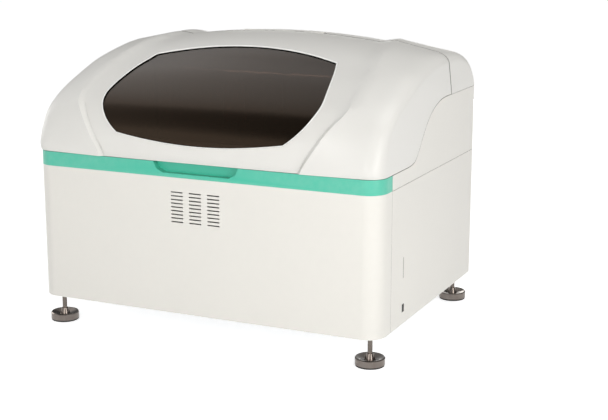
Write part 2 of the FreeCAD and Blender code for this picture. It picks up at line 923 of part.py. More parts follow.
def make_hood_leaves(inner, deeper):
    """The hood's half of each hinge: a barrel, a drop and a flange against the hood's skin."""
    bores = hinge_bores(S.hinge_pin + S.running_fit)
    under = hinge_height() - S.hinge_post_deep
    back = hinge_y() + S.leaf_thick / 2
    layer = inner.cut(deeper)
    leaves = []
    for low, long, barrel in hinge_barrels(((1 / 4, 3 / 4),)):
        drop = Part.makeBox(long, S.leaf_thick, S.hinge_post_deep, Vector(low, back - S.leaf_thick, under))
        reach = Part.makeBox(long, back - split_y() + S.hinge_leaf, S.leaf_thick,
                             Vector(low, split_y() - S.hinge_leaf, under))
        pillar = Part.makeBox(long, S.hinge_leaf, S.hinge_leaf, Vector(low, split_y() - S.hinge_leaf, under))
        skin_pad = pillar.common(layer)
        web = Part.makeBox(long, S.leaf_thick, S.hinge_leaf, Vector(low, split_y() - S.hinge_leaf, under))
        leaves.append(barrel.fuse([drop, reach, skin_pad, web.common(inner)]).cut(bores))
    node("lid_hinge_leaves", feature("HoodLeaves", Part.makeCompound(leaves)))
    node("hinge_pins", feature("HingePins", Part.makeCompound(hinge_bores(S.hinge_pin))))


def make_fixed_leaves():
    """The casing's half of each hinge: two barrels and a plate down to the rear beam."""
    bores = hinge_bores(S.hinge_pin + S.running_fit / 10)
    low_z = crown_height() - S.beam_drop + S.fit
    leaves = []
    for index in (-1, 0, 1):
        pair = [piece for piece in hinge_barrels(((0, 1 / 4), (3 / 4, 1))) if
                abs(piece[0] + piece[1] / 2 - index * S.hinge_pitch) < S.hinge_length / 2]
        solids = []
        for low, long, barrel in pair:
            solids.append(barrel)
            top = hinge_height() - low_z
            solids.append(Part.makeBox(long, S.leaf_thick, top, Vector(low, hinge_y(), low_z)))
        start = index * S.hinge_pitch - S.hinge_length / 2 + S.fit / 2
        plate = Part.makeBox(S.hinge_length - S.fit, S.leaf_thick, S.beam, Vector(start, hinge_y(), low_z))
        leaves.append(plate.fuse(solids).cut(bores))
    node("fixed_hinge_leaves", feature("FixedLeaves", Part.makeCompound(leaves)))


def make_hinge_beam():
    y = "hood_split - body_depth / 2 + split_gap / 2 + leaf_thick + beam / 2"
    foot = over_body("band_bottom")
    low = f"{foot} + band_height + {HOOD_SHARES[-1][1]} * body_width - beam_drop"
    long = "body_width - 2 * hinge_post_side + post"
    bar = box("BeamBar", ("0", y, low), (long, "beam", "beam"))
    bore = box("BeamBore", ("0", y, f"{low} + beam_wall"),
               (f"{long} + 2 * overrun", "beam - 2 * beam_wall", "beam - 2 * beam_wall"))
    node("hinge_beam", cut("HingeBeam", bar, bore))
    posts = [
        box(f"HingePost{side + 1}",
            (f"{side} * (body_width / 2 - hinge_post_side)", y, foot),
            ("post", "post", f"{low} - ({foot})"))
        for side in (-1, 1)
    ]
    node("hinge_posts", group("HingePosts", posts))


# frame under the deck


def make_base_pan():
    outer = outline("PanOuter", ("skin", "fit"), over_body("0"), "pan_lip")
    inner = outline("PanInner", ("skin", "fit", "pan_thick"), over_body("pan_thick"), "pan_lip")
    holes = [
        rod(f"PanHole{word}", (x, y, over_body("0 - overrun")), "stud_radius + running_fit",
            "pan_thick + nut_height + 2 * overrun")
        for x, y, word in foot_places()
    ]
    tray = cut("PanTray", outer, inner)
    nuts = [
        hexagon(f"Nut{word}", (x, y, over_body("pan_thick")), "nut_radius", "nut_height")
        for x, y, word in foot_places()
    ]
    node("base_pan", cut("BasePan", fuse("PanBody", tray, *nuts), *holes))


def make_posts():
    posts = [
        box(f"Post{side + 1}{word}",
            (f"{side} * (body_width / 2 - post_side)", f"{end} * (body_depth / 2 - post_{word})",
             over_body("pan_thick")),
            ("post", "post", "band_bottom - deck_thick - pan_thick"))
        for side in (-1, 1) for end, word in ((-1, "front"), (1, "rear"))
    ]
    node("frame_posts", group("FramePosts", posts))


def make_drive_plate():
    plate = box("DriveSheet", ("0", "(drive_front - drive_rear) / 2", over_body("drive_low")),
                ("body_width - 2 * post_side - post", "body_depth - drive_front - drive_rear", "drive_thick"))
    holes = [
        rod(f"DriveHole{word}", (f"{word}_x", f"{word}_y", over_body("drive_low - overrun")),
            "motor_boss + fit", "drive_thick + 2 * overrun")
        for word in ("reagent", "reaction")
    ]
    node("drive_plate", cut("DrivePlate", plate, *holes))


def well_places():
    """Rest place, far left and far right of the sampling arm's swing."""
    for name, angle in (("Rest", 0), ("Left", -ARM_LEFT), ("Right", ARM_RIGHT)):
        sine = math.sin(math.radians(angle))
        cosine = math.cos(math.radians(angle))
        yield name, f"probe_x + {sine:.9f} * probe_reach", f"probe_y - {cosine:.9f} * probe_reach"


def make_deck():
    plate = outline("DeckPlate", ("skin", "deck_clear"), over_body("band_bottom - deck_thick"), "deck_thick")
    low = over_body("band_bottom - deck_thick - overrun")
    deep = "deck_thick + 2 * overrun"
    tools = [
        rod("DeckHoleReagent", ("reagent_x", "reagent_y", low), "reagent_bowl + hole_clear", deep),
        rod("DeckHoleReaction", ("reaction_x", "reaction_y", low), "reaction_bowl + hole_clear", deep),
        rod("DeckHoleProbe", ("probe_x", "probe_y", low), "probe_sleeve + hole_clear", deep),
    ]
    for name, x, y in well_places():
        width = "well_width + 2 * hole_clear"
        tools.append(box(f"DeckHole{name}", (x, y, low), (width, width, deep)))
    node("work_deck", cut("WorkDeck", plate, *tools))


def make_wells():
    """Square rinsing wells hung in the deck where the needle comes down."""
    wells = []
    top = "band_bottom + well_lip_thick"
    for name, x, y in well_places():
        cup = box(f"WellCup{name}", (x, y, over_body(f"{top} - well_deep")),
                  ("well_width", "well_width", "well_deep"))
        lip = box(f"WellLip{name}", (x, y, over_body("band_bottom")),
                  ("well_lip", "well_lip", "well_lip_thick"))
        bore = box(f"WellBore{name}", (x, y, over_body(f"{top} - well_deep + bowl_wall")),
                   ("well_bore", "well_bore", "well_deep"))
        wells.append(cut(f"Well{name}", fuse(f"WellBody{name}", cup, lip), bore))
    node("wash_wells", group("WashWells", wells))


# levelling feet


def foot_places():
    for y, row in ((-1, "front"), (1, "rear")):
        for x, side in ((-1, "left"), (1, "right")):
            yield (f"{x} * (body_width / 2 - foot_side)", f"{y} * (body_depth / 2 - foot_end)",
                   f"{row}_{side}")


def make_feet():
    for x, y, word in foot_places():
        pad = rod(f"Pad{word}", (x, y, "0"), "pad_radius", "pad_height")
        node(f"foot_pad_{word}", pad)
        rim = "pad_height + cup_height - cup_rim"
        body = rod(f"Cup{word}", (x, y, "pad_height"), "foot_radius", "cup_height - cup_rim")
        edge = cone(f"CupEdge{word}", (x, y, rim), "foot_radius", "foot_radius - cup_rim", "cup_rim")
        dish = cone(f"CupDish{word}", (x, y, "pad_height + cup_height - cup_dish"),
                    "collar_radius", "foot_radius - 2 * cup_rim", "cup_dish + fit / 10")
        collar = cone(f"CupCollar{word}", (x, y, "pad_height + cup_height - cup_dish"),
                      "collar_radius", "collar_top", "collar_height")
        shell = cut(f"CupShell{word}", fuse(f"CupSolid{word}", body, edge), dish)
        stud = rod(f"Stud{word}", (x, y, "pad_height + cup_height"), "stud_radius",
                   "foot_height + stud_top - pad_height - cup_height")
        node(f"foot_{word}", fuse(f"Foot{word}", shell, collar, stud))


# carousels


def make_bowl(word):
    """A well that hangs from the deck by its lip."""
    low = over_body(f"{word}_low")
    x, y = f"{word}_x", f"{word}_y"
    body = rod(f"Bowl{word}", (x, y, low), f"{word}_bowl", f"band_bottom - {word}_low")
    lip = rod(f"BowlLip{word}", (x, y, over_body("band_bottom")), f"{word}_bowl + bowl_lip", "bowl_lip_thick")
    hollow = rod(f"BowlHollow{word}", (x, y, f"{low} + bowl_wall"), f"{word}_bowl - bowl_wall", "body_depth")
    hole = rod(f"BowlHole{word}", (x, y, f"{low} - overrun"), "bowl_hole", "bowl_wall + 2 * overrun")
    node(f"{word}_bowl", cut(f"BowlCut{word}", fuse(f"BowlBody{word}", body, lip), hollow, hole))


def make_motor(word):
    """A motor under the drive plate whose boss fills the plate's hole."""
    x, y = f"{word}_x", f"{word}_y"
    case = box(f"Motor{word}", (x, y, over_body("drive_low - motor_height")),
               ("motor_width", "motor_width", "motor_height"))
    boss = rod(f"MotorBoss{word}", (x, y, over_body("drive_low")), "motor_boss", "motor_boss_height")
    bore = rod(f"MotorBore{word}", (x, y, over_body("spindle_low - seam")), "spindle_radius + running_fit",
               "drive_low - spindle_low + 2 * motor_boss_height")
    return cut(f"MotorCut{word}", fuse(f"MotorBody{word}", case, boss), bore)


def make_spindle(word, seat, top):
    """A driven shaft with the flange that carries its carousel."""
    x, y = f"{word}_x", f"{word}_y"
    shaft = rod(f"Spindle{word}", (x, y, over_body("spindle_low")), "spindle_radius", f"{top} - spindle_low")
    flange = rod(f"SpindleFlange{word}", (x, y, over_body(f"{seat} - spindle_flange_thick")),
                 "spindle_flange", "spindle_flange_thick")
    node(f"{word}_spindle", fuse(f"SpindleBody{word}", shaft, flange))


def make_reagent_carousel():
    centre = ("reagent_x", "reagent_y")
    make_spindle("reagent", "tray_low", "tray_hub_top")
    floor = rod("TrayFloor", (*centre, over_body("tray_low")), "tray_radius", "tray_thick")
    rack = rod("TrayRack", (*centre, over_body("rack_low")), "tray_radius", "tray_thick")
    hub = rod("TrayHub", (*centre, over_body("tray_low")), "tray_hub", "tray_hub_top - tray_low")
    holes = [rod("TrayBore", (*centre, over_body("tray_low - overrun")), "spindle_radius + running_fit",
                 "tray_hub_top - tray_low + 2 * overrun")]
    tubes = []
    for index, x, y, angle in around(centre, "tube_ring", TUBE_COUNT):
        holes.append(rod(f"TubeHole{index}", (x, y, over_body("rack_low - overrun")),
                         "tube_radius + hole_clear", "tray_thick + 2 * overrun"))
        foot = over_body("tray_low + tray_thick")
        glass = rod(f"Tube{index}", (x, y, foot), "tube_radius",
                    "tube_top - tube_cap_height - tray_low - tray_thick")
        cap = rod(f"TubeCap{index}", (x, y, over_body("tube_top - tube_cap_height")),
                  "tube_cap", "tube_cap_height")
        tubes.append(fuse(f"SampleTube{index}", glass, cap))
    bottles = []
    for index, x, y, angle in around(centre, "bottle_ring", BOTTLE_COUNT):
        size = ("bottle_length + 2 * hole_clear", "bottle_width + 2 * hole_clear", "tray_thick + 2 * overrun")
        holes.append(box(f"BottleHole{index}", (x, y, over_body("rack_low - overrun")), size, angle))
        flask = box(f"Bottle{index}", (x, y, over_body("tray_low + tray_thick")),
                    ("bottle_length", "bottle_width", "bottle_top - tray_low - tray_thick"), angle)
        cap = rod(f"BottleCap{index}", (x, y, over_body("bottle_top")), "bottle_cap", "bottle_cap_height")
        bottles.append(fuse(f"ReagentBottle{index}", flask, cap))
    node("reagent_tray", cut("ReagentTray", fuse("TrayBody", floor, rack, hub), *holes))
    node("sample_tubes", group("SampleTubes", tubes))
    node("reagent_bottles", group("ReagentBottles", bottles))
    waist = rod("KnobWaist", (*centre, over_body("tray_hub_top")), "knob_waist", "knob_height * 2 / 3")
    grip = cone("KnobGrip", (*centre, over_body("tray_hub_top + knob_height / 3")),
                "knob_waist", "knob_radius", "knob_height / 3")
    top = rod("KnobTop", (*centre, over_body("tray_hub_top + knob_height * 2 / 3")), "knob_radius",
              "knob_height / 3")
    node("carousel_knob", fuse("CarouselKnob", waist, grip, top))


def make_reaction_carousel():
    centre = ("reaction_x", "reaction_y")
    make_spindle("reaction", "ring_low", "ring_low + ring_thick")
    disc = rod("RingDisc", (*centre, over_body("ring_low")), "ring_radius", "ring_thick")
    hub = rod("RingHub", (*centre, over_body("ring_low")), "ring_hub", "ring_hub_height")
    holes = [rod("RingBore", (*centre, over_body("ring_low - overrun")), "spindle_radius + running_fit",
                 "ring_thick + overrun + running_fit")]
    cuvettes = []
    for index, x, y, angle in around(centre, "cuvette_ring", CUVETTE_COUNT):
        width = "cuvette_width + 2 * hole_clear"
        holes.append(box(f"CuvetteHole{index}", (x, y, over_body("ring_low - overrun")),
                         (width, width, "ring_thick + 2 * overrun"), angle))
        cell = box(f"Cuvette{index}", (x, y, over_body("cuvette_low")),
                   ("cuvette_width", "cuvette_width", "cuvette_top - cuvette_low"), angle)
        rim = box(f"CuvetteRim{index}", (x, y, over_body("ring_low + ring_thick")),
                  ("cuvette_rim", "cuvette_rim", "cuvette_rim_thick"), angle)
        cuvettes.append(fuse(f"CuvetteCell{index}", cell, rim))
    node("reaction_ring", cut("ReactionRing", fuse("RingBody", disc, hub), *holes))
    node("cuvettes", group("Cuvettes", cuvettes))


# sampling arm


def make_probe():
    centre = ("probe_x", "probe_y")
    case = box("ColumnCase", (*centre, over_body("band_bottom")),
               ("probe_column_width", "probe_column_width", "probe_column_top - band_bottom"))
    sleeve = rod("ColumnSleeve", (*centre, over_body("probe_sleeve_low")), "probe_sleeve",
                 "probe_column_top - probe_sleeve_low")
    bore = rod("ColumnBore", (*centre, over_body("probe_sleeve_low - overrun")), "probe_rod + running_fit",
               "probe_column_top - probe_sleeve_low + 2 * overrun")
    node("probe_column", cut("ProbeColumn", fuse("ColumnBody", case, sleeve), bore))
    top = "arm_low + arm_plate"
    node("probe_lift_rod", rod("ProbeRod", (*centre, over_body("probe_rod_low")), "probe_rod",
                               f"{top} - probe_rod_low"))
    long = "(probe_reach + arm_front + arm_back)"
    y = f"probe_y + arm_back - {long} / 2"
    play = "2 * arm_cover_wall - 2 * fit"
    plate = box("ArmPlate", ("probe_x", y, over_body("arm_low")),
                (f"arm_width - {play}", f"{long} - {play}", "arm_plate"))
    rod_bore = rod("ArmRodBore", (*centre, over_body("arm_low - overrun")), "probe_rod + running_fit",
                   "arm_plate + 2 * overrun")
    tip = ("probe_x", "probe_y - probe_reach")
    needle_bore = rod("ArmNeedleBore", (*tip, over_body("arm_low - overrun")), "needle_radius + running_fit",
                      "arm_plate + 2 * overrun")
    node("probe_arm", cut("ProbeArm", plate, rod_bore, needle_bore))
    outer = box("CoverOuter", ("probe_x", y, over_body("arm_low")), ("arm_width", long, "arm_top - arm_low"))
    rounded = document.addObject("Part::Fillet", "CoverRounded")
    rounded.Base = outer
    document.recompute()
    flat = outer.Shape.BoundBox
    edges = [
        (index, S.arm_round, S.arm_round)
        for index, edge in enumerate(outer.Shape.Edges, start=1)
        if edge.CenterOfMass.z > flat.Center.z
    ]
    rounded.Edges = edges
    hollow = box("CoverHollow", ("probe_x", y, over_body("arm_low - overrun")),
                 ("arm_width - 2 * arm_cover_wall", f"{long} - 2 * arm_cover_wall",
                  "arm_top - arm_low - arm_round / 2 + overrun"))
    node("probe_cover", cut("ProbeCover", rounded, hollow))
    shaft = rod("NeedleShaft", (*tip, over_body("needle_low")), "needle_radius", f"{top} - needle_low")
    collar = rod("NeedleCollar", (*tip, over_body(top)), "needle_collar", "needle_collar_height")
    node("probe_needle", fuse("ProbeNeedle", shaft, collar))


# cuvette washer


def nozzle_places():
    """Four cuvettes on the ring's near left, where the washer's nozzles stand."""
    for index in range(4):
        angle = math.radians(200 + 360 * index / CUVETTE_COUNT)
        yield index, (f"reaction_x + {math.cos(angle):.9f} * cuvette_ring",
                      f"reaction_y + {math.sin(angle):.9f} * cuvette_ring")


def make_washer():
    centre = ("washer_x", "washer_y")
    post = box("WasherCase", (*centre, over_body("band_bottom")),
               ("washer_post", "washer_post", "washer_post_top - band_bottom"))
    bore = rod("WasherBore", (*centre, over_body("band_bottom + bowl_lip")), "washer_rod + running_fit",
               "washer_post_top - band_bottom")
    node("washer_post", cut("WasherPost", post, bore))
    places = [place_rules for index, place_rules in nozzle_places()]
    head_x = f"({places[0][0]} + {places[3][0]}) / 2"
    head_y = f"({places[0][1]} + {places[3][1]}) / 2"
    low = over_body("washer_head_low")
    wide = f"({places[3][0]} - ({places[0][0]}) + washer_head_width)"
    deep = f"({places[0][1]} - ({places[3][1]}) + washer_head_width)"
    block = box("WasherBlock", (head_x, head_y, low), (wide, deep, "washer_head_thick"))
    bridge_long = f"({head_x} - washer_x)"
    bridge = box("WasherBridge", (f"washer_x + {bridge_long} / 2", "washer_y", low),
                 (f"{bridge_long} + washer_post", "washer_post", "washer_head_thick"))
    stem = rod("WasherStem", (*centre, over_body("washer_rod_low")), "washer_rod",
               "washer_head_low - washer_rod_low + washer_head_thick / 2")
    bores = [
        rod(f"NozzleBore{index}", (*spot, over_body("washer_head_low - overrun")), "nozzle_radius",
            "overrun + washer_head_thick / 2")
        for index, spot in nozzle_places()
    ]
    node("washer_head", cut("WasherHead", fuse("WasherArm", block, bridge, stem), *bores))
    tubes = [
        rod(f"NozzleTube{index}", (*spot, over_body("nozzle_low")), "nozzle_radius",
            "washer_head_low - nozzle_low + washer_head_thick / 2")
        for index, spot in nozzle_places()
    ]
    node("washer_nozzles", group("WasherNozzles", tubes))


def make_photometer():
    tip = "reaction_x + reaction_bowl + bowl_lip + photometer_clear"
    where = (f"{tip} + lens_length + photometer_width / 2", "reaction_y", over_body("band_bottom"))
    case = box("LampCase", where, ("photometer_width", "photometer_length", "photometer_height"))
    lens = rod("LampLens", (tip, "reaction_y", over_body("band_bottom + photometer_height / 2")),
               "lens_radius", "lens_length + overrun", "x")
    node("photometer", fuse("Photometer", case, lens))


# electrics


def make_electrics():
    floor = over_body("pan_thick")
    supply = ("supply_side - body_width / 2", "body_depth / 2 - supply_end", floor)
    node("power_supply", box("PowerSupply", supply, ("supply_length", "supply_width", "supply_height")))
    board_low = f"{floor} + standoff_height"
    board_y = "body_depth / 2 - board_end"
    parts = [
        box("BoardSheet", ("board_x", board_y, board_low), ("board_length", "board_width", "board_thick"))
    ]
    for x in (-1, 1):
        for y in (-1, 1):
            where = (f"board_x + {x} * (board_length / 2 - standoff_edge)",
                     f"{board_y} + {y} * (board_width / 2 - standoff_edge)", floor)
            parts.append(rod(f"Standoff{x + 1}{y + 1}", where, "standoff_radius", "standoff_height"))
    for column in (-1, 0, 1):
        where = (f"board_x + {column} * board_length / 4", board_y, f"{board_low} + board_thick")
        parts.append(box(f"Chip{column + 1}", where, ("chip", "chip", "chip_height")))
    node("control_board", fuse("ControlBoard", *parts))


def make_fan():
    inside = "body_depth / 2 - skin"
    centre_z = over_body("fan_z")
    start = f"{inside} - fan_deep"
    frame = box("FanFrame", ("fan_x", f"{inside} - fan_deep / 2", f"{centre_z} - fan_width / 2"),
                ("fan_width", "fan_deep", "fan_width"))
    bore = rod("FanBore", ("fan_x", f"{start} - overrun", centre_z), "fan_bore",
               "fan_deep + 2 * overrun", "y")
    shell = cut("FanShell", frame, bore)
    strut_y = f"{start} + fan_strut_thick / 2"
    across = box("FanStrutAcross", ("fan_x", strut_y, f"{centre_z} - fan_strut / 2"),
                 ("2 * fan_bore + overrun", "fan_strut_thick", "fan_strut"))
    upright = box("FanStrutUp", ("fan_x", strut_y, f"{centre_z} - fan_bore - overrun / 2"),
                  ("fan_strut", "fan_strut_thick", "2 * fan_bore + overrun"))
    motor = rod("FanMotor", ("fan_x", start, centre_z), "fan_hub", "fan_strut_thick", "y")
    axle = rod("FanAxle", ("fan_x", start, centre_z), "fan_axle", "fan_deep - 2 * fan_strut_thick", "y")
    node("fan_frame", fuse("FanFrameBody", shell, across, upright, motor, axle))
    hub_start = f"{start} + fan_strut_thick + seam"
    hub = rod("FanHub", ("fan_x", hub_start, centre_z), "fan_hub",
              "fan_deep - 2 * fan_strut_thick - 2 * seam", "y")
    blades = []
    blade_deep = S.fan_deep - 3 * S.fan_strut_thick
    blade_y = S.body_depth / 2 - S.skin - S.fan_deep / 2 + S.fan_strut_thick / 2
    for index in range(BLADE_COUNT):
        blade = Part.makeBox(S.fan_blade, blade_deep, S.fan_blade_thick,
                             Vector(0, -blade_deep / 2, -S.fan_blade_thick / 2))
        blade.rotate(Vector(), Vector(1, 0, 0), BLADE_TILT)
        blade.rotate(Vector(), Vector(0, 1, 0), 360 * index / BLADE_COUNT)
        blade.translate(Vector(S.fan_x, blade_y, S.foot_height + S.fan_z))
        blades.append(blade)
    sweep = feature("FanBlades", blades[0].multiFuse(blades[1:]))
    axle_hole = rod("FanAxleHole", ("fan_x", f"{start} - overrun", centre_z), "fan_axle + running_fit",
                    "fan_deep + 2 * overrun", "y")
    node("fan_rotor", cut("FanRotor", fuse("FanWheel", hub, sweep), axle_hole))
    rings = []
    face = "body_depth / 2"
    for index in range(1, 5):
        wire = document.addObject("Part::Torus", f"GuardRing{index}")
        wire.setExpression("Radius1", bound(f"guard_pitch * {index}"))
        wire.setExpression("Radius2", bound("guard_wire"))
        place(wire, ("fan_x", f"{face} + guard_wire", centre_z), TURNS["y"])
        rings.append(wire)
    reach = "fan_bore + 3 * guard_wire"
    rings.append(rod("GuardAcross", (f"fan_x - ({reach})", f"{face} + guard_wire", centre_z), "guard_wire",
                     f"2 * ({reach})", "x"))
    rings.append(rod("GuardUp", ("fan_x", f"{face} + guard_wire", f"{centre_z} - ({reach}) "), "guard_wire",
                     f"2 * ({reach})"))
    node("fan_guard", fuse("FanGuard", *rings))


def make_inlets():
    start = "body_depth / 2 - inlet_deep"
    x = "inlet_side - body_width / 2"
    z = over_body("inlet_z - inlet_height / 2")
    body = box("InletBody", (x, "body_depth / 2 - inlet_deep / 2", z),
               ("inlet_width", "inlet_deep", "inlet_height"))
    lip = box("InletLip", (x, "body_depth / 2 + inlet_lip_thick / 2", f"{z} - inlet_lip"),
              ("inlet_width + 2 * inlet_lip", "inlet_lip_thick", "inlet_height + 2 * inlet_lip"))
    socket_y = f"{start} + inlet_lip + (inlet_deep + overrun) / 2"
    socket = box("InletSocket", (x, socket_y, f"{z} + inlet_lip"),
                 ("inlet_width - 3 * inlet_lip", "inlet_deep + overrun", "inlet_height - 2 * inlet_lip"))
    pin_y = f"{start} + inlet_lip / 2 + inlet_deep * 3 / 8"
    pins = [
        box(f"InletPin{index + 1}",
            (f"{x} + {index} * inlet_lip * 2", pin_y, over_body("inlet_z - inlet_lip / 2")),
            ("inlet_lip / 2", "inlet_deep * 3 / 4 - inlet_lip", "inlet_lip"))
        for index in (-1, 0, 1)
    ]
    node("power_inlet", fuse("PowerInlet", cut("InletShell", fuse("InletCase", body, lip), socket), *pins))
    ports = []
    nose = f"{NOSE_SHARE} * body_width"
    for index in (-1, 0, 1):
        x = f"body_width / 2 - port_side + {index} * port_pitch"
        z = over_body("port_z")
        stub = rod(f"Port{index + 1}", (x, "body_depth / 2 - port_inside", z), "port_radius",
                   f"port_inside + {nose}", "y")
        bore = rod(f"PortBore{index + 1}", (x, "body_depth / 2 - port_inside / 2", z), "port_bore",
                   f"port_inside + {nose}", "y")
        ports.append(cut(f"FluidPort{index + 1}", stub, bore))
    node("fluid_ports", group("FluidPorts", ports))


# power switch


def make_switch():
    face = "body_width / 2"
    low = over_body("switch_z - switch_height / 2")
    case = box("SwitchCase", (f"{face} - switch_deep / 2", "switch_y", low),
               ("switch_deep", "switch_width", "switch_height"))
    hollow = box("SwitchHollow",
                 (f"{face} - rocker_deep / 2 + overrun / 2", "switch_y", f"{low} + switch_wall"),
                 ("rocker_deep + overrun", "switch_width - 2 * switch_wall",
                  "switch_height - 2 * switch_wall"))
    pin = rod("SwitchPin", (f"{face} - rocker_pivot", "switch_y - switch_width / 2", over_body("switch_z")),
              "rocker_pin", "switch_width", "y")
    node("switch_body", fuse("SwitchBody", cut("SwitchShell", case, hollow), pin))
    half = S.switch_height / 2 - S.switch_wall - 2 * S.fit
    face_x = S.body_width / 2 - S.fit
    pivot_x = S.body_width / 2 - S.rocker_pivot
    pivot_z = S.foot_height + S.switch_z
    lean = math.tan(math.radians(ROCKER_SWING))
    back_x = pivot_x - S.rocker_pin - S.switch_wall / 2
    tuck = half * lean
    width = S.switch_width - 2 * S.switch_wall - 2 * S.fit
    y = S.switch_y - width / 2
    points = [
        Vector(face_x, y, pivot_z),
        Vector(face_x, y, pivot_z - half + tuck),
        Vector(face_x - tuck, y, pivot_z - half + tuck / 2),
        Vector(back_x, y, pivot_z - half / 2),
        Vector(back_x, y, pivot_z + half / 2),
        Vector(face_x - tuck - S.rocker_pin, y, pivot_z + half - tuck),
        Vector(face_x - tuck, y, pivot_z + half - tuck / 2),
    ]
    face_shape = Part.Face(Part.makePolygon(points + points[:1]))
    solid = face_shape.extrude(Vector(0, width, 0))
    bore = Part.makeCylinder(S.rocker_pin + S.running_fit, width + 2 * S.overrun,
                             Vector(pivot_x, y - S.overrun, pivot_z), Vector(0, 1, 0))
    node("power_rocker", feature("PowerRocker", solid.cut(bore)))


# syringe pump


def make_syringe():
    x = "body_width / 2 - syringe_side"
    middle = "syringe_end - body_depth / 2"
    floor = over_body("pan_thick")
    foot = box("SyringeFoot", (x, middle, floor),
               ("syringe_frame_width", "syringe_foot", "syringe_plate"))
    back_y = f"{middle} + syringe_foot / 2 - syringe_plate / 2"
    back = box("SyringeBack", (x, back_y, floor),
               ("syringe_frame_width", "syringe_plate", "syringe_frame_height"))
    arm_y = f"{middle} + syringe_foot / 2 - syringe_arm / 2"
    low_arm = box("SyringeLowArm", (x, arm_y, over_body("barrel_low - syringe_arm_thick")),
                  ("syringe_frame_width / 2", "syringe_arm", "syringe_arm_thick"))
    top_arm = box("SyringeTopArm", (x, arm_y, over_body("barrel_low + barrel_length")),
                  ("syringe_frame_width / 2", "syringe_arm", "syringe_arm_thick"))
    axis_y = f"{middle} + syringe_foot / 2 - syringe_arm + barrel_radius + syringe_plate"
    pass_hole = rod("SyringePass", (x, axis_y, over_body("barrel_low - syringe_arm_thick - overrun")),
                    "plunger_radius + fit", "syringe_arm_thick + 2 * overrun")
    node("syringe_frame", cut("SyringeFrame", fuse("SyringeCase", foot, back, low_arm, top_arm), pass_hole))
    node("syringe_barrel", ring("SyringeBarrel", (x, axis_y, over_body("barrel_low")), "barrel_radius",
                                "barrel_bore", "barrel_length"))
    piston = rod("SyringePiston", (x, axis_y, over_body("piston_low")),
                 "barrel_bore - running_fit", "piston_height")
    shaft = rod("PlungerShaft", (x, axis_y, over_body("carriage_low")), "plunger_radius",
                "piston_low - carriage_low + piston_height / 2")
    space = "syringe_foot - syringe_plate - fit"
    block = box("PlungerBlock",
                (x, f"{middle} - syringe_foot / 2 + ({space}) / 2", over_body("carriage_low")),
                ("carriage_width", space, "carriage_height"))
    node("syringe_plunger", fuse("SyringePlunger", piston, shaft, block))


def write_parts():
    """Checks every object and each sub-part's shape, then writes the STEP files."""
    document.recompute()
    for item in document.Objects:
        if "Invalid" in item.State or "Error" in item.State:
            raise RuntimeError(f"{item.Label} did not recompute")
    for item in NODES:
        if item.Shape.isNull() or not item.Shape.isValid():
            raise RuntimeError(f"{item.Label} is not a valid shape")
    os.makedirs("parts", exist_ok=True)
    for item in NODES:
        item.Shape.exportStep(f"parts/{item.Label}.step")
        print(item.Label, len(item.Shape.Solids), round(item.Shape.Volume))


def main():
    fill_sheet()
    make_front_cover()
    make_side_panels()
    make_rear_panel()
    make_trim_band()
    make_cheeks()
    outer = feature("HoodOuter", hood_loft(0))
    inner = feature("HoodInner", hood_loft(S.hood_skin))
    deeper = feature("HoodDeeper", hood_loft(S.hood_skin + S.window_thick))
    make_hood(outer, inner, deeper)
    make_rear_cover()
    make_hood_leaves(inner.Shape, deeper.Shape)
    make_fixed_leaves()
    make_hinge_beam()
    make_base_pan()
    make_posts()
    make_drive_plate()
    make_deck()
    make_wells()
    make_feet()
    make_bowl("reagent")
    make_bowl("reaction")
    node("carousel_motors", group("CarouselMotors", [make_motor("reagent"), make_motor("reaction")]))
    make_reagent_carousel()
    make_reaction_carousel()
    make_probe()
    make_washer()
    make_photometer()
    make_electrics()
    make_fan()
    make_inlets()
    make_switch()
    make_syringe()
    write_parts()


main()
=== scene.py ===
import logging
import math
from dataclasses import dataclass, field
from enum import Enum
from typing import Iterator, Sequence

import bmesh
import bpy
from mathutils import Euler, Matrix, Vector


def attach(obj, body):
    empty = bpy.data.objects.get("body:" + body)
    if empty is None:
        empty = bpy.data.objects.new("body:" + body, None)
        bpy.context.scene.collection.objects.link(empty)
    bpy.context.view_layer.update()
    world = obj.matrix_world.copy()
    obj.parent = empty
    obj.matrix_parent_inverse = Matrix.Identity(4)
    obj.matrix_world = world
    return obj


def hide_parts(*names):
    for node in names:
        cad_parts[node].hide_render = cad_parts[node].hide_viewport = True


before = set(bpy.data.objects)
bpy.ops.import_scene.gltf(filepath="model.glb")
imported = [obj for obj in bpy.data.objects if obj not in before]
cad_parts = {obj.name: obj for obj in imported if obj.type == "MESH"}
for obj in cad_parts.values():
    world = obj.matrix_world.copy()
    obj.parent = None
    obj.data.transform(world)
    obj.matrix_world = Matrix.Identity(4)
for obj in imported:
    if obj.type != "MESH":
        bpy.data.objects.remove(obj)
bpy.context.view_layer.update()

LOG = logging.getLogger("analyzer")

Colour = tuple[float, float, float]
Point = tuple[float, float, float]
Flat = tuple[float, float]
Profile = Sequence[Flat]
Socket = bpy.types.NodeSocket
Mesh = bmesh.types.BMesh

# Lengths are in metres and angles in degrees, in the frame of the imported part.
WELD_REACH = 0.00002
TINY_RADIUS = 1e-7
CREASE_ANGLE = 34.0
BREAK_ANGLE = 40.0
BREAK_STEPS = 2
WHITE: Colour = (1.0, 1.0, 1.0)
BLACK: Colour = (0.0, 0.0, 0.0)

# A display's curve is straight up to its knee and a power above it.
DISPLAY_TOP = 255
CURVE_KNEE = 0.04045
CURVE_SLOPE = 12.92
CURVE_SHIFT = 0.055
CURVE_POWER = 2.4


def linear(level: int) -> float:
    """Undoes the display's curve for one channel.

    Args:
        level: The channel from 0 to 255.

    Returns:
        The linear value from 0 to 1.
    """
    part = level / DISPLAY_TOP
    if part <= CURVE_KNEE:
        return part / CURVE_SLOPE
    return ((part + CURVE_SHIFT) / (1 + CURVE_SHIFT)) ** CURVE_POWER


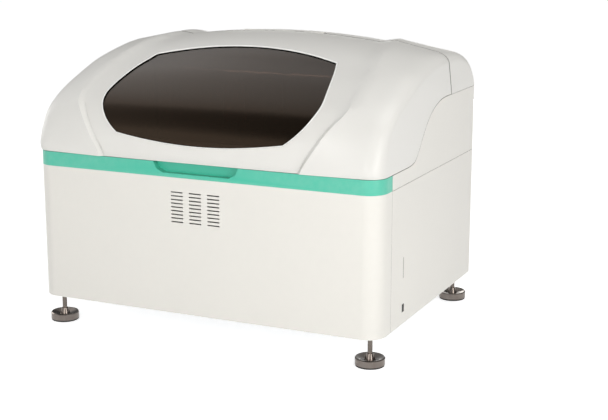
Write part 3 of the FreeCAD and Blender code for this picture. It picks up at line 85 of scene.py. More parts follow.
def shade(red: int, green: int, blue: int) -> Colour:
    """Turns a display colour into the linear values that shaders take."""
    return linear(red), linear(green), linear(blue)


class Graph:
    """Adds and joins the nodes of one shader tree."""

    # The colour sockets of the mix node, which has others for plain numbers and vectors.
    MIX_SHARE, MIX_FIRST, MIX_SECOND, MIX_RESULT = 0, 6, 7, 2

    def __init__(self, tree: bpy.types.NodeTree) -> None:
        """Keeps the tree that the nodes go into."""
        self.tree = tree

    def add(self, kind: str, settings: dict | None = None, **sockets: object) -> bpy.types.Node:
        """Adds a node and fills its settings and sockets.

        Args:
            kind: Blender's name for the node type.
            settings: Attributes to set on the node.
            **sockets: Values or sockets for its inputs, named as fill takes them.

        Returns:
            The new node.
        """
        node = self.tree.nodes.new(kind)
        for name, value in (settings or {}).items():
            setattr(node, name, value)
        self.fill(node, **sockets)
        return node

    def fill(self, node: bpy.types.Node, **sockets: object) -> None:
        """Feeds a node's inputs, whose names have underscores for spaces."""
        for name, value in sockets.items():
            self.feed(node.inputs[name.replace("_", " ")], value)

    def feed(self, socket: Socket, value: object) -> None:
        """Joins a socket to another one, or sets its value.

        Args:
            socket: The input to fill.
            value: The socket that feeds it, or a number, vector or colour.
        """
        if isinstance(value, Socket):
            self.tree.links.new(value, socket)
        elif socket.type == "RGBA":
            socket.default_value = (*value, 1)
        else:
            socket.default_value = value

    def reckon(self, operation: str, first: object, second: object,
               clamp: bool = False) -> Socket:
        """Adds one step of arithmetic.

        Args:
            operation: Blender's name for the operation.
            first: The first number or socket.
            second: The second number or socket.
            clamp: True keeps the result from 0 to 1.

        Returns:
            The result's socket.
        """
        node = self.add("ShaderNodeMath", {"operation": operation, "use_clamp": clamp})
        self.feed(node.inputs[0], first)
        self.feed(node.inputs[1], second)
        return node.outputs[0]

    def blend(self, share: object, first: object, second: object) -> Socket:
        """Mixes two colours.

        Args:
            share: How much of the second colour, from 0 to 1.
            first: The first colour or its socket.
            second: The second colour or its socket.

        Returns:
            The mixed colour's socket.
        """
        node = self.add("ShaderNodeMix", {"data_type": "RGBA"})
        self.feed(node.inputs[self.MIX_SHARE], share)
        self.feed(node.inputs[self.MIX_FIRST], first)
        self.feed(node.inputs[self.MIX_SECOND], second)
        return node.outputs[self.MIX_RESULT]

    def position(self) -> Socket:
        """Gives the place of each point on its own object."""
        return self.add("ShaderNodeTexCoord").outputs["Object"]

    def cloud(self, place: Socket, scale: object, detail: float) -> Socket:
        """Adds soft noise.

        Args:
            place: The socket of the place to read it at.
            scale: How fine it is, as a number or a socket.
            detail: How many finer layers it has.

        Returns:
            The noise's socket, from 0 to 1.
        """
        noise = self.add("ShaderNodeTexNoise", Vector=place, Scale=scale, Detail=detail)
        return noise.outputs["Fac"]


class Effect(Enum):
    """Surface effects that several finishes share."""

    GRAIN = "moulded_grain"
    DRIFT = "tone_drift"
    WEAR = "edge_wear"
    DUST = "settled_dust"
    BRUSH = "brushed_lines"
    # Painted shade in seams and slots.
    SEAM_SHADE = "painted_seam_shade"


class EffectGroup(Graph):
    """The node group of a shared effect. Each kind names its sockets and draws its nodes."""

    effect: Effect
    inputs: dict[str, float | Colour]
    outputs: tuple[str, ...]

    def __init__(self) -> None:
        """Makes the group's sockets and nodes."""
        super().__init__(bpy.data.node_groups.new(self.effect.value, "ShaderNodeTree"))
        for label, value in self.inputs.items():
            socket = self._socket(label, "INPUT")
            socket.default_value = (*value, 1) if label == "Colour" else value
        for label in self.outputs:
            self._socket(label, "OUTPUT")
        self.given = self.add("NodeGroupInput").outputs
        self.wanted = self.add("NodeGroupOutput").inputs
        self.draw()

    def _socket(self, label: str, way: str) -> bpy.types.NodeTreeInterfaceSocket:
        """Adds a socket for a colour, where that is its name, or else for a number."""
        kind = "NodeSocketColor" if label == "Colour" else "NodeSocketFloat"
        return self.tree.interface.new_socket(label, in_out=way, socket_type=kind)

    def draw(self) -> None:
        """Adds the effect's nodes, which each kind has for itself."""
        raise NotImplementedError


class Grain(EffectGroup):
    """The fine pebbled texture of a moulded skin, as a height."""

    effect = Effect.GRAIN
    inputs = {"Scale": 900.0, "Depth": 1.0}
    outputs = ("Height",)

    def draw(self) -> None:
        """Adds pebbles and noise."""
        place, scale = self.position(), self.given["Scale"]
        pebbles = self.add("ShaderNodeTexVoronoi", {"feature": "SMOOTH_F1"}, Vector=place,
                           Scale=scale)
        cloud = self.cloud(place, scale, detail=4.0)
        height = self.reckon("ADD", pebbles.outputs["Distance"], cloud)
        self.feed(self.wanted["Height"], self.reckon("MULTIPLY", height, self.given["Depth"]))


class Drift(EffectGroup):
    """Slow changes of tone and gloss over a surface."""

    effect = Effect.DRIFT
    inputs = {"Colour": (0.8, 0.8, 0.8), "Roughness": 0.5, "Scale": 4.0, "Amount": 0.04}
    outputs = ("Colour", "Roughness")
    NOISE_MIDDLE = 0.5
    # The roughness swings this many times as far as the tone.
    GLOSS_SWING = 3.0

    def draw(self) -> None:
        """Adds noise that swings the tone and the roughness."""
        cloud = self.cloud(self.position(), self.given["Scale"], detail=5.0)
        offset = self.reckon("SUBTRACT", cloud, self.NOISE_MIDDLE)
        swing = self.reckon("MULTIPLY", offset, self.given["Amount"])
        gain = self.reckon("ADD", swing, 1.0)
        tone = self.add("ShaderNodeHueSaturation", Color=self.given["Colour"], Value=gain)
        self.feed(self.wanted["Colour"], tone.outputs["Color"])
        wide = self.reckon("ADD", self.reckon("MULTIPLY", swing, self.GLOSS_SWING), 1.0)
        rough = self.reckon("MULTIPLY", self.given["Roughness"], wide)
        self.feed(self.wanted["Roughness"], self.reckon("MINIMUM", rough, 1.0))


class Wear(EffectGroup):
    """A mask of rubbed edges, broken up by noise."""

    effect = Effect.WEAR
    inputs = {"Reach": 0.08, "Breakup": 60.0}
    outputs = ("Mask",)
    FLAT_POINTINESS = 0.5
    # Makes up for the noise's low middle.
    GAIN = 1.4

    def draw(self) -> None:
        """Adds the edges and the noise."""
        point = self.add("ShaderNodeNewGeometry").outputs["Pointiness"]
        cloud = self.cloud(self.position(), self.given["Breakup"], detail=4.0)
        sharp = self.reckon("SUBTRACT", point, self.FLAT_POINTINESS)
        edge = self.reckon("DIVIDE", sharp, self.given["Reach"], clamp=True)
        broken = self.reckon("MULTIPLY", cloud, self.GAIN)
        self.feed(self.wanted["Mask"], self.reckon("MULTIPLY", edge, broken, clamp=True))


class Dust(EffectGroup):
    """A mask of dust that settles where a surface faces up."""

    effect = Effect.DUST
    inputs = {"Scale": 30.0, "Amount": 0.2}
    outputs = ("Mask",)
    # Dust thins with this power of how far a face looks up.
    FALL = 3.0

    def draw(self) -> None:
        """Adds the slope and the noise."""
        normal = self.add("ShaderNodeNewGeometry").outputs["Normal"]
        up = self.add("ShaderNodeSeparateXYZ", Vector=normal).outputs["Z"]
        cloud = self.cloud(self.position(), self.given["Scale"], detail=6.0)
        level = self.reckon("POWER", self.reckon("MAXIMUM", up, 0.0), self.FALL)
        broken = self.reckon("MULTIPLY", level, cloud)
        mask = self.reckon("MULTIPLY", broken, self.given["Amount"], clamp=True)
        self.feed(self.wanted["Mask"], mask)


class Brush(EffectGroup):
    """The fine lines of brushed or turned metal, as a height and a tone."""

    effect = Effect.BRUSH
    inputs = {"Scale": 40.0, "Stretch": 30.0, "Depth": 1.0}
    outputs = ("Height", "Tone")
    # The tone goes from the low level up by the range.
    TONE_LOW = 0.88
    TONE_RANGE = 0.24

    def draw(self) -> None:
        """Adds noise that is drawn out across the upright."""
        split = self.add("ShaderNodeSeparateXYZ", Vector=self.position()).outputs
        tall = self.reckon("MULTIPLY", split["Z"], self.given["Stretch"])
        joined = self.add("ShaderNodeCombineXYZ", X=split["X"], Y=split["Y"], Z=tall)
        lines = self.cloud(joined.outputs[0], self.given["Scale"], detail=5.0)
        self.feed(self.wanted["Height"], self.reckon("MULTIPLY", lines, self.given["Depth"]))
        swing = self.reckon("MULTIPLY", lines, self.TONE_RANGE)
        self.feed(self.wanted["Tone"], self.reckon("ADD", swing, self.TONE_LOW))


class SeamShade(EffectGroup):
    """Painted shade: a mask that darkens seams and slots, where a point's surroundings hide it.
    """

    effect = Effect.SEAM_SHADE
    inputs = {"Reach": 0.008, "Amount": 1.0}
    outputs = ("Mask",)
    RAYS = 6
    # It starts where this share of a point's surroundings is hidden.
    START = 0.1

    def draw(self) -> None:
        """Adds how hidden a point is."""
        near = self.add("ShaderNodeAmbientOcclusion", {"samples": self.RAYS},
                        Distance=self.given["Reach"])
        hidden = self.reckon("SUBTRACT", 1.0, near.outputs["AO"])
        deep = self.reckon("SUBTRACT", hidden, self.START, clamp=True)
        mask = self.reckon("MULTIPLY", deep, self.given["Amount"], clamp=True)
        self.feed(self.wanted["Mask"], mask)


class EffectKit:
    """Builds each shared effect once and places it in materials."""

    def __init__(self) -> None:
        """Builds every effect's node group."""
        kinds = (Grain, Drift, Wear, Dust, Brush, SeamShade)
        self.groups = {kind.effect: kind().tree for kind in kinds}

    def place(self, graph: Graph, effect: Effect, **sockets: object) -> bpy.types.Node:
        """Places an effect in a material, with values for its inputs."""
        return graph.add("ShaderNodeGroup", {"node_tree": self.groups[effect]}, **sockets)


class Texture(Enum):
    """How a finish's surface is worked."""

    GRAINED = "grained"
    BRUSHED = "brushed"


WORN_METAL = shade(196, 196, 194)
DUST_TINT = shade(214, 208, 196)
# The dark colour of the painted shade in seams and slots.
SEAM_SHADE_TINT = shade(72, 64, 56)
# Full dust makes a surface this much rougher.
DUST_DULL = 0.4


@dataclass(frozen=True)
class BaseFinish:
    """What every finish has."""

    name: str
    colour: Colour
    roughness: float

    def start(self, alpha: float) -> tuple[bpy.types.Material, Graph, bpy.types.Node]:
        """Starts the material.

        Args:
            alpha: How solid it is in a plain view.

        Returns:
            The material, its graph and its shader.
        """
        material = bpy.data.materials.new(self.name)
        material.use_nodes = True
        material.diffuse_color = (*self.colour, alpha)
        tree = material.node_tree
        return material, Graph(tree), tree.nodes["Principled BSDF"]


@dataclass(frozen=True)
class Finish(BaseFinish):
    """An opaque finish: moulded plastic, paint, rubber or paper."""

    metallic: float = 0.0
    texture: Texture = Texture.GRAINED
    scale: float = 900.0
    relief: float = 0.00004
    drift: float = 0.05
    wear: float = 0.25
    worn: Colour = (0.75, 0.74, 0.71)
    dust: float = 0.15
    coat: float = 0.0
    shine: float = 0.5
    # How strongly painted shade darkens seams and slots.
    seam_shade: float = 0.0

    def build(self, kit: EffectKit) -> bpy.types.Material:
        """Makes the material.

        Args:
            kit: The shared effects.

        Returns:
            The material.
        """
        material, graph, surface = self.start(1.0)
        tone = kit.place(graph, Effect.DRIFT, Colour=self.colour, Roughness=self.roughness,
                         Amount=self.drift)
        colour = tone.outputs["Colour"]
        if self.texture is Texture.BRUSHED:
            lines = kit.place(graph, Effect.BRUSH, Scale=self.scale)
            height = lines.outputs["Height"]
            lit = graph.add("ShaderNodeHueSaturation", Color=colour, Value=lines.outputs["Tone"])
            colour = lit.outputs["Color"]
        else:
            height = kit.place(graph, Effect.GRAIN, Scale=self.scale).outputs["Height"]
        rubbed = kit.place(graph, Effect.WEAR).outputs["Mask"]
        colour = graph.blend(graph.reckon("MULTIPLY", rubbed, self.wear), colour, self.worn)
        settled = kit.place(graph, Effect.DUST, Amount=self.dust).outputs["Mask"]
        colour = graph.blend(settled, colour, DUST_TINT)
        # Painted shade: darkens seams and slots where a point's surroundings hide it.
        if self.seam_shade:
            deep = kit.place(graph, Effect.SEAM_SHADE, Amount=self.seam_shade).outputs["Mask"]
            colour = graph.blend(deep, colour, SEAM_SHADE_TINT)
        dull = graph.reckon("MULTIPLY", settled, DUST_DULL)
        rough = graph.reckon("ADD", tone.outputs["Roughness"], dull, clamp=True)
        bump = graph.add("ShaderNodeBump", Distance=self.relief, Strength=1.0, Height=height)
        graph.fill(surface, Base_Color=colour, Roughness=rough, Normal=bump.outputs["Normal"])
        graph.fill(surface, Metallic=self.metallic, Coat_Weight=self.coat,
                   Specular_IOR_Level=self.shine)
        return material


@dataclass(frozen=True)
class MetalFinish(Finish):
    """A brushed, ground or turned metal."""

    metallic: float = 1.0
    texture: Texture = Texture.BRUSHED
    scale: float = 60.0
    relief: float = 0.00001
    drift: float = 0.08
    wear: float = 0.3
    worn: Colour = WORN_METAL


@dataclass(frozen=True)
class ClearFinish(BaseFinish):
    """A finish that light passes through: glass, clear plastic or liquid."""

    index: float
    smudge: float = 0.05
    gleam: Colour = WHITE
    drift: float = 0.06
    drift_scale: float = 9.0
    smudge_scale: float = 14.0
    ripple_scale: float = 18.0
    ripple_depth: float = 0.3
    ripple_strength: float = 0.3
    relief: float = 0.0002
    view_alpha: float = 0.5

    def build(self, kit: EffectKit) -> bpy.types.Material:
        """Makes the material.

        Args:
            kit: The shared effects.

        Returns:
            The material.
        """
        material, graph, surface = self.start(self.view_alpha)
        tone = kit.place(graph, Effect.DRIFT, Colour=self.colour, Roughness=self.roughness,
                         Scale=self.drift_scale, Amount=self.drift)
        haze = kit.place(graph, Effect.DUST, Scale=self.smudge_scale, Amount=self.smudge)
        rough = graph.reckon("ADD", tone.outputs["Roughness"], haze.outputs["Mask"], clamp=True)
        ripple = kit.place(graph, Effect.GRAIN, Scale=self.ripple_scale, Depth=self.ripple_depth)
        bump = graph.add("ShaderNodeBump", Distance=self.relief, Strength=self.ripple_strength,
                         Height=ripple.outputs["Height"])
        graph.fill(surface, Base_Color=tone.outputs["Colour"], Roughness=rough,
                   Normal=bump.outputs["Normal"])
        graph.fill(surface, Transmission_Weight=1.0, IOR=self.index, Specular_Tint=self.gleam)
        return material


FINISHES: tuple[Finish | ClearFinish, ...] = (
    # The shell's and the hood's plastics darken their seams and slots with painted shade.
    Finish("shell_plastic", shade(237, 235, 229), 0.42, scale=1100.0, drift=0.02, wear=0.15,
           dust=0.05, seam_shade=2.2),
    Finish("hood_plastic", shade(233, 232, 228), 0.36, scale=1100.0, drift=0.02, wear=0.15,
           dust=0.06, seam_shade=2.2),
    Finish("hinge_paint", shade(228, 227, 222), 0.42, scale=700.0, drift=0.02, wear=0.15,
           dust=0.06),
    # Painted highlight: a whiter, glossier copy of the hood plastic for the window's lip.
    Finish("lip_painted_highlight", shade(251, 251, 248), 0.16, scale=1400.0, drift=0.01, wear=0.03,
           dust=0.01),
    Finish("band_teal", shade(72, 196, 168), 0.34, scale=1400.0, drift=0.04, wear=0.2,
           worn=shade(170, 220, 206)),
    MetalFinish("foot_chrome", shade(112, 103, 97), 0.15, relief=0.000008, drift=0.1),
    MetalFinish("thread_steel", shade(92, 85, 79), 0.3, relief=0.000008, drift=0.1, wear=0.2),
    Finish("pad_rubber", shade(26, 26, 27), 0.78, scale=500.0, relief=0.0001, drift=0.2, wear=0.5,
           worn=shade(70, 69, 67), dust=0.4),
    MetalFinish("zinc_sheet", shade(186, 189, 192), 0.38, metallic=0.9, scale=30.0, drift=0.14),
    MetalFinish("ground_steel", shade(196, 197, 199), 0.24, scale=80.0, relief=0.000008),
    Finish("deck_paint", shade(146, 149, 152), 0.42, scale=420.0, relief=0.00006, drift=0.02,
           wear=0.12, worn=shade(172, 174, 176), dust=0.03),
    Finish("column_paint", shade(205, 208, 211), 0.4, scale=420.0, relief=0.00006, drift=0.03,
           wear=0.4, worn=WORN_METAL),
    MetalFinish("anodised_grey", shade(168, 172, 178), 0.34, metallic=0.85, scale=50.0),
    MetalFinish("spun_aluminium", shade(196, 198, 200), 0.3, metallic=0.95, scale=36.0, wear=0.2),
    Finish("tray_plastic", shade(116, 138, 150), 0.45, scale=800.0, drift=0.06, wear=0.4,
           worn=shade(160, 172, 178)),
    Finish("bottle_plastic", shade(238, 236, 228), 0.4, scale=500.0, drift=0.03, wear=0.1,
           dust=0.02),
    Finish("cap_blue", shade(42, 92, 150), 0.4, drift=0.08, wear=0.4, worn=shade(120, 150, 190)),
    Finish("cap_red", shade(160, 44, 40), 0.4, drift=0.08, wear=0.4, worn=shade(205, 120, 110)),
    Finish("cap_white", shade(226, 226, 222), 0.42, drift=0.03, wear=0.2),
    Finish("label_paper", shade(232, 230, 220), 0.7, scale=300.0, relief=0.00003, wear=0.2),
    Finish("arm_cover", shade(168, 84, 64), 0.42, drift=0.06, wear=0.3,
           worn=shade(176, 126, 112)),
    Finish("black_plastic", shade(30, 30, 32), 0.5, drift=0.15, wear=0.4, worn=shade(80, 80, 82),
           dust=0.3),
    Finish("rocker_gloss", shade(14, 14, 15), 0.28, scale=1400.0, drift=0.15, wear=0.3,
           worn=shade(64, 64, 66), shine=0.15),
    Finish("motor_paint", shade(38, 39, 42), 0.45, scale=500.0, drift=0.12, wear=0.6,
           worn=WORN_METAL, dust=0.25),
    Finish("board_green", shade(24, 92, 54), 0.36, scale=700.0, relief=0.00003, drift=0.2,
           wear=0.2, coat=0.3),
    MetalFinish("turned_brass", shade(196, 168, 104), 0.28, scale=70.0, drift=0.1,
                worn=shade(226, 206, 150)),
    ClearFinish("smoked_pane", shade(70, 52, 43), 0.02, 1.49, smudge=0.04,
                gleam=(1.0, 0.72, 0.50)),
    ClearFinish("clear_glass", shade(236, 242, 243), 0.02, 1.5),
    ClearFinish("cuvette_clear", shade(232, 238, 240), 0.05, 1.5),
    ClearFinish("serum", shade(226, 186, 92), 0.02, 1.34),
)


@dataclass(frozen=True)
class Dressing:
    """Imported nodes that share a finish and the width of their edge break, 0 for none."""

    finish: str
    nodes: tuple[str, ...]
    edge: float


Dressings = tuple[Dressing, ...]


def dressed(finish: str, *nodes: str, edge: float = 0.0) -> Dressing:
    """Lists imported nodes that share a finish."""
    return Dressing(finish, nodes, edge)


def stand(data: bpy.types.ID) -> bpy.types.Object:
    """Puts an object of a mesh, a lamp or a camera into the scene, under its name.

    Args:
        data: The mesh, lamp or camera.

    Returns:
        The object.
    """
    item = bpy.data.objects.new(data.name, data)
    bpy.context.scene.collection.objects.link(item)
    return item


class Workshop:
    """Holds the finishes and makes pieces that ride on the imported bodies."""

    def __init__(self) -> None:
        """Builds every finish."""
        kit = EffectKit()
        self.materials = {finish.name: finish.build(kit) for finish in FINISHES}

    def dress(self, dressing: Dressing) -> None:
        """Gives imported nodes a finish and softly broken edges.

        Args:
            dressing: The nodes and what they get.
        """
        for name in dressing.nodes:
            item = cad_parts[name]
            item.data.materials.clear()
            item.data.materials.append(self.materials[dressing.finish])
            self.soften(item, dressing.edge)
            LOG.info("dressed %s in %s", name, dressing.finish)

    @staticmethod
    def soften(item: bpy.types.Object, edge: float) -> None:
        """Shades a mesh smoothly between its real edges.

        Args:
            item: The object.
            edge: Width of the edge break, or 0 for none.
        """
        kept = item.data.attributes.get("custom_normal")
        if kept:
            item.data.attributes.remove(kept)
        weld = item.modifiers.new("weld", "WELD")
        weld.merge_threshold = WELD_REACH
        for face in item.data.polygons:
            face.use_smooth = True
        if edge:
            bevel = item.modifiers.new("edge_break", "BEVEL")
            bevel.width = edge
            bevel.segments = BREAK_STEPS
            bevel.limit_method = "ANGLE"
            bevel.angle_limit = math.radians(BREAK_ANGLE)
            bevel.harden_normals = True
        sharp = item.modifiers.new("sharp_edges", "EDGE_SPLIT")
        sharp.split_angle = math.radians(CREASE_ANGLE)

    def piece(self, name: str, mesh: Mesh, finish: str, body: str, slot: str,
              smooth: float = CREASE_ANGLE) -> bpy.types.Object:
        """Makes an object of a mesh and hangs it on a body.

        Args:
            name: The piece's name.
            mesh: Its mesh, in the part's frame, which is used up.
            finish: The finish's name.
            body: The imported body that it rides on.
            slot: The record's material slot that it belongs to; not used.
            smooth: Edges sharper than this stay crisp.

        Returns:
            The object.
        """
        data = bpy.data.meshes.new(name)
        bmesh.ops.recalc_face_normals(mesh, faces=mesh.faces)
        for face in mesh.faces:
            face.smooth = True
        for line in mesh.edges:
            shallow = line.calc_face_angle(0) < math.radians(smooth)
            line.smooth = len(line.link_faces) != 2 or shallow
        mesh.to_mesh(data)
        mesh.free()
        data.materials.append(self.materials[finish])
        item = stand(data)
        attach(item, body)
        LOG.info("built %s on %s", name, body)
        return item


class Shapes:
    """Mesh makers for turned and boxed pieces."""

    @staticmethod
    def scaled(shape: Profile, wide: float, tall: float) -> list[Flat]:
        """Turns a profile in shares of a width and a height into metres."""
        return [(wide * across, tall * up) for across, up in shape]

    @staticmethod
    def turned(mesh: Mesh, profile: Profile, centre: Point, steps: int) -> None:
        """Turns a profile about an upright line.

        Args:
            mesh: The mesh to add to.
            profile: Radius and height of each point, from one end to the other.
            centre: The foot of the line.
            steps: How many steps go round.
        """
        turns = [2 * math.pi * step / steps for step in range(steps)]
        rings = []
        for radius, height in profile:
            level = centre[2] + height
            if radius < TINY_RADIUS:
                rings.append([mesh.verts.new((centre[0], centre[1], level))] * steps)
            else:
                rings.append([
                    mesh.verts.new((centre[0] + radius * math.cos(turn),
                                    centre[1] + radius * math.sin(turn), level))
                    for turn in turns
                ])
        for low, high in zip(rings, rings[1:]):
            for step in range(steps):
                after = (step + 1) % steps
                corners = list(dict.fromkeys((low[step], low[after], high[after], high[step])))
                if len(corners) > 2:
                    mesh.faces.new(corners)
        for ring in (rings[0], rings[-1]):
            if len(set(ring)) > 2:
                mesh.faces.new(ring)

    @staticmethod
    def block(mesh: Mesh, centre: Point, size: Point, round_off: float,
              spin: float = 0.0, segments: int = 3) -> None:
        """Adds a box with rounded edges.

        Args:
            mesh: The mesh to add to.
            centre: The box's middle.
            size: Its length, width and height before it is turned.
            round_off: The radius of its edges.
            spin: How far it is turned about its upright line.
            segments: Steps in each rounded edge.
        """
        part = bmesh.new()
        bmesh.ops.create_cube(part, size=1)
        bmesh.ops.scale(part, vec=size, verts=part.verts)
        bmesh.ops.bevel(part, geom=list(part.edges) + list(part.verts), offset=round_off,
                        segments=segments, affect="EDGES", profile=0.5)
        matrix = Matrix.Translation(centre) @ Matrix.Rotation(math.radians(spin), 4, "Z")
        bmesh.ops.transform(part, matrix=matrix, verts=part.verts)
        Shapes.merge(mesh, part)

    @staticmethod
    def merge(mesh: Mesh, part: Mesh) -> None:
        """Adds one mesh to another.

        Args:
            mesh: The mesh to add to.
            part: The mesh to add, which is used up.
        """
        data = bpy.data.meshes.new("joined")
        part.to_mesh(data)
        part.free()
        mesh.from_mesh(data)
        bpy.data.meshes.remove(data)

    @staticmethod
    def around(centre: Flat, radius: float,
               count: int) -> Iterator[tuple[int, float, float, float]]:
        """Gives evenly spread places on a circle.

        Args:
            centre: The circle's middle.
            radius: Its radius.
            count: How many places.

        Yields:
            The index, x, y and angle of each place.
        """
        for index in range(count):
            angle = 360 * index / count
            yield (index, centre[0] + radius * math.cos(math.radians(angle)),
                   centre[1] + radius * math.sin(math.radians(angle)), angle)


@dataclass
class Assembly:
    """A sub-assembly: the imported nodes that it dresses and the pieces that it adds."""

    shop: Workshop
    dressings: Dressings = ()

    def build(self) -> None:
        """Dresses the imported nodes, then adds the pieces."""
        for dressing in self.dressings:
            self.shop.dress(dressing)
        self.add_pieces()

    def add_pieces(self) -> None:
        """Adds no piece, where a sub-assembly has none of its own."""


@dataclass
class Casing(Assembly):
    """The moulded lower covers, the band and the panels."""

    dressings: Dressings = (
        dressed("shell_plastic", "front_cover", "side_panel_left", "side_panel_right",
                "cheek_left", "cheek_right", "rear_panel"),
        dressed("band_teal", "trim_band"),
    )
    rear_face: float = 0.355
    screw_across: float = 0.432
    screw_heights: tuple[float, ...] = (0.098, 0.262, 0.426, 0.580)
    screw_radius: float = 0.0038
    screw_stand: float = 0.002
    screw_steps: int = 20
    # A pan head with a dimple, in shares of its radius and height.
    screw_shape: Profile = ((1.0, 0.0), (1.0, 0.45), (0.86, 0.85), (0.55, 1.0), (0.3, 1.0),
                            (0.12, 0.3), (0.0, 0.25))

    def add_pieces(self) -> None:
        """Adds pan head screws down both sides of the rear panel."""
        mesh = bmesh.new()
        profile = Shapes.scaled(self.screw_shape, self.screw_radius, self.screw_stand)
        turn = Matrix.Rotation(math.radians(-90), 4, "X")
        for side in (-1, 1):
            for height in self.screw_heights:
                part = bmesh.new()
                Shapes.turned(part, profile, (0.0, 0.0, 0.0), self.screw_steps)
                shift = Matrix.Translation((side * self.screw_across, self.rear_face, height))
                bmesh.ops.transform(part, matrix=shift @ turn, verts=part.verts)
                Shapes.merge(mesh, part)
        self.shop.piece("rear_panel_screws", mesh, "ground_steel", "base", "hinge_steel")


@dataclass
class Hood(Assembly):
    """The hinged hood, its window, its hinges and the fixed cover behind it."""

    dressings: Dressings = (
        dressed("hood_plastic", "lid_shell", "rear_top_cover"),
        dressed("smoked_pane", "lid_window"),
        dressed("hinge_paint", "lid_hinge_leaves", "fixed_hinge_leaves", edge=0.0004),
        dressed("ground_steel", "hinge_pins", edge=0.0004),
    )
    # The lip's half width at the window's bottom and top.
    lip_low: float = 0.0014
    lip_high: float = 0.0028
    # Shares of that half width: how far in the lip sits, and how far it stands up.
    lip_inset: float = 0.5
    lip_flat: float = 0.4
    lip_sides: int = 8
    lip_crease: float = 60.0
    # The opening is cut straight along this heading, within this far of the middle.
    cut_heading: Vector = field(default_factory=lambda: Vector((0.0, -1.0, 1.0)).normalized())
    window_reach: float = 0.33
    # How much its walls look along the heading at most, and the hood's skin at least.
    wall_look: float = 0.03
    hood_look: float = 0.3

    def opening(self) -> list[Vector]:
        """Finds the outer edge of the window's opening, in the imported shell's front half.

        Returns:
            The edge's points, in order round the window.
        """
        mesh = bmesh.new()
        mesh.from_mesh(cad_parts["lid_shell"].data)
        bmesh.ops.remove_doubles(mesh, verts=mesh.verts, dist=WELD_REACH)
        spots = set()
        for line in mesh.edges:
            slopes = sorted(face.normal.dot(self.cut_heading) for face in line.link_faces)
            near = all(abs(vert.co.x) < self.window_reach and vert.co.y < 0
                       for vert in line.verts)
            if (near and len(slopes) == 2 and abs(slopes[0]) < self.wall_look
                    and slopes[1] > self.hood_look):
                spots.update(vert.co.copy().freeze() for vert in line.verts)
        mesh.free()
        middle = sum(spots, Vector()) / len(spots)
        along = Vector((0.0, 1.0, 1.0)).normalized()
        return sorted(spots, key=lambda spot: math.atan2((spot - middle).dot(along),
                                                         spot.x - middle.x))

    def add_pieces(self) -> None:
        """Runs a fine rounded lip round the window's opening, wider at the top, whiter as a
        painted highlight.
        """
        path = self.opening()
        bottom, top = min(spot.z for spot in path), max(spot.z for spot in path)
        mesh = bmesh.new()
        rings = []
        for index, spot in enumerate(path):
            ahead = (path[(index + 1) % len(path)] - path[index - 1]).normalized()
            outward = ahead.cross(self.cut_heading).normalized()
            climb = (spot.z - bottom) / (top - bottom)
            wide = self.lip_low + (self.lip_high - self.lip_low) * climb
            centre = spot - self.lip_inset * wide * outward
            rise = self.lip_flat * wide * outward.cross(ahead)
            ring = []
            for side in range(self.lip_sides):
                angle = 2 * math.pi * side / self.lip_sides
                across = wide * math.cos(angle) * outward
                ring.append(mesh.verts.new(centre + across + math.sin(angle) * rise))
            rings.append(ring)
        for index, ring in enumerate(rings):
            after = rings[(index + 1) % len(rings)]
            for side in range(self.lip_sides):
                follow = (side + 1) % self.lip_sides
                mesh.faces.new((ring[side], ring[follow], after[follow], after[side]))
        self.shop.piece("window_lip", mesh, "lip_painted_highlight", "lid", "hood", smooth=self.lip_crease)


@dataclass
class InnerFrame(Assembly):
    """The pan, posts, plates and deck that carry everything."""

    dressings: Dressings = (
        dressed("zinc_sheet", "base_pan", "frame_posts", "hinge_posts", "hinge_beam",
                "drive_plate"),
        dressed("deck_paint", "work_deck"),
        dressed("black_plastic", "wash_wells"),
    )


@dataclass
class LevellingFeet(Assembly):
    """Four screw feet with rubber pads."""

    across: float = 0.440
    deep: float = 0.309
    disc_edge: float = 0.0005
    pad_edge: float = 0.0006
    stud_radius: float = 0.006
    thread_low: float = 0.034
    thread_high: float = 0.075
    thread_pitch: float = 0.00175
    thread_root: float = 0.0002
    thread_stand: float = 0.0003
    # Share of the pitch from a thread's crest down to its root.
    thread_flank: float = 0.45
    thread_steps: int = 20
    thread_crease: float = 80.0

    def add_pieces(self) -> None:
        """Dresses each foot and its pad, and cuts a thread on its stud."""
        for row, y in (("front", -1), ("rear", 1)):
            for side, x in (("left", -1), ("right", 1)):
                word = f"{row}_{side}"
                self.shop.dress(dressed("foot_chrome", f"foot_{word}", edge=self.disc_edge))
                self.shop.dress(dressed("pad_rubber", f"foot_pad_{word}", edge=self.pad_edge))
                self.thread(word, x * self.across, y * self.deep)

    def thread(self, word: str, x: float, y: float) -> None:
        """Winds a screw thread round the bare part of a stud.

        Args:
            word: The foot's name.
            x: Where the stud stands across.
            y: Where it stands in depth.
        """
        mesh = bmesh.new()
        root = self.stud_radius - self.thread_root
        crest = self.stud_radius + self.thread_stand
        ridge = ((root, -self.thread_flank), (crest, 0.0), (root, self.thread_flank))
        turns = (self.thread_high - self.thread_low) / self.thread_pitch
        rows = []
        for step in range(int(turns * self.thread_steps)):
            angle = 2 * math.pi * step / self.thread_steps
            height = self.thread_low + self.thread_pitch * step / self.thread_steps
            rows.append([
                mesh.verts.new((x + radius * math.cos(angle), y + radius * math.sin(angle),
                                height + lift * self.thread_pitch))
                for radius, lift in ridge
            ])
        for low, high in zip(rows, rows[1:]):
            for index in range(len(ridge) - 1):
                mesh.faces.new((low[index], high[index], high[index + 1], low[index + 1]))
        self.shop.piece(f"stud_thread_{word}", mesh, "thread_steel", f"foot_{word}",
                        "foot_chrome", smooth=self.thread_crease)


class TubeCap(Enum):
    """The cap colours of the sample tubes, by their finish."""

    RED = "cap_red"
    BLUE = "cap_blue"


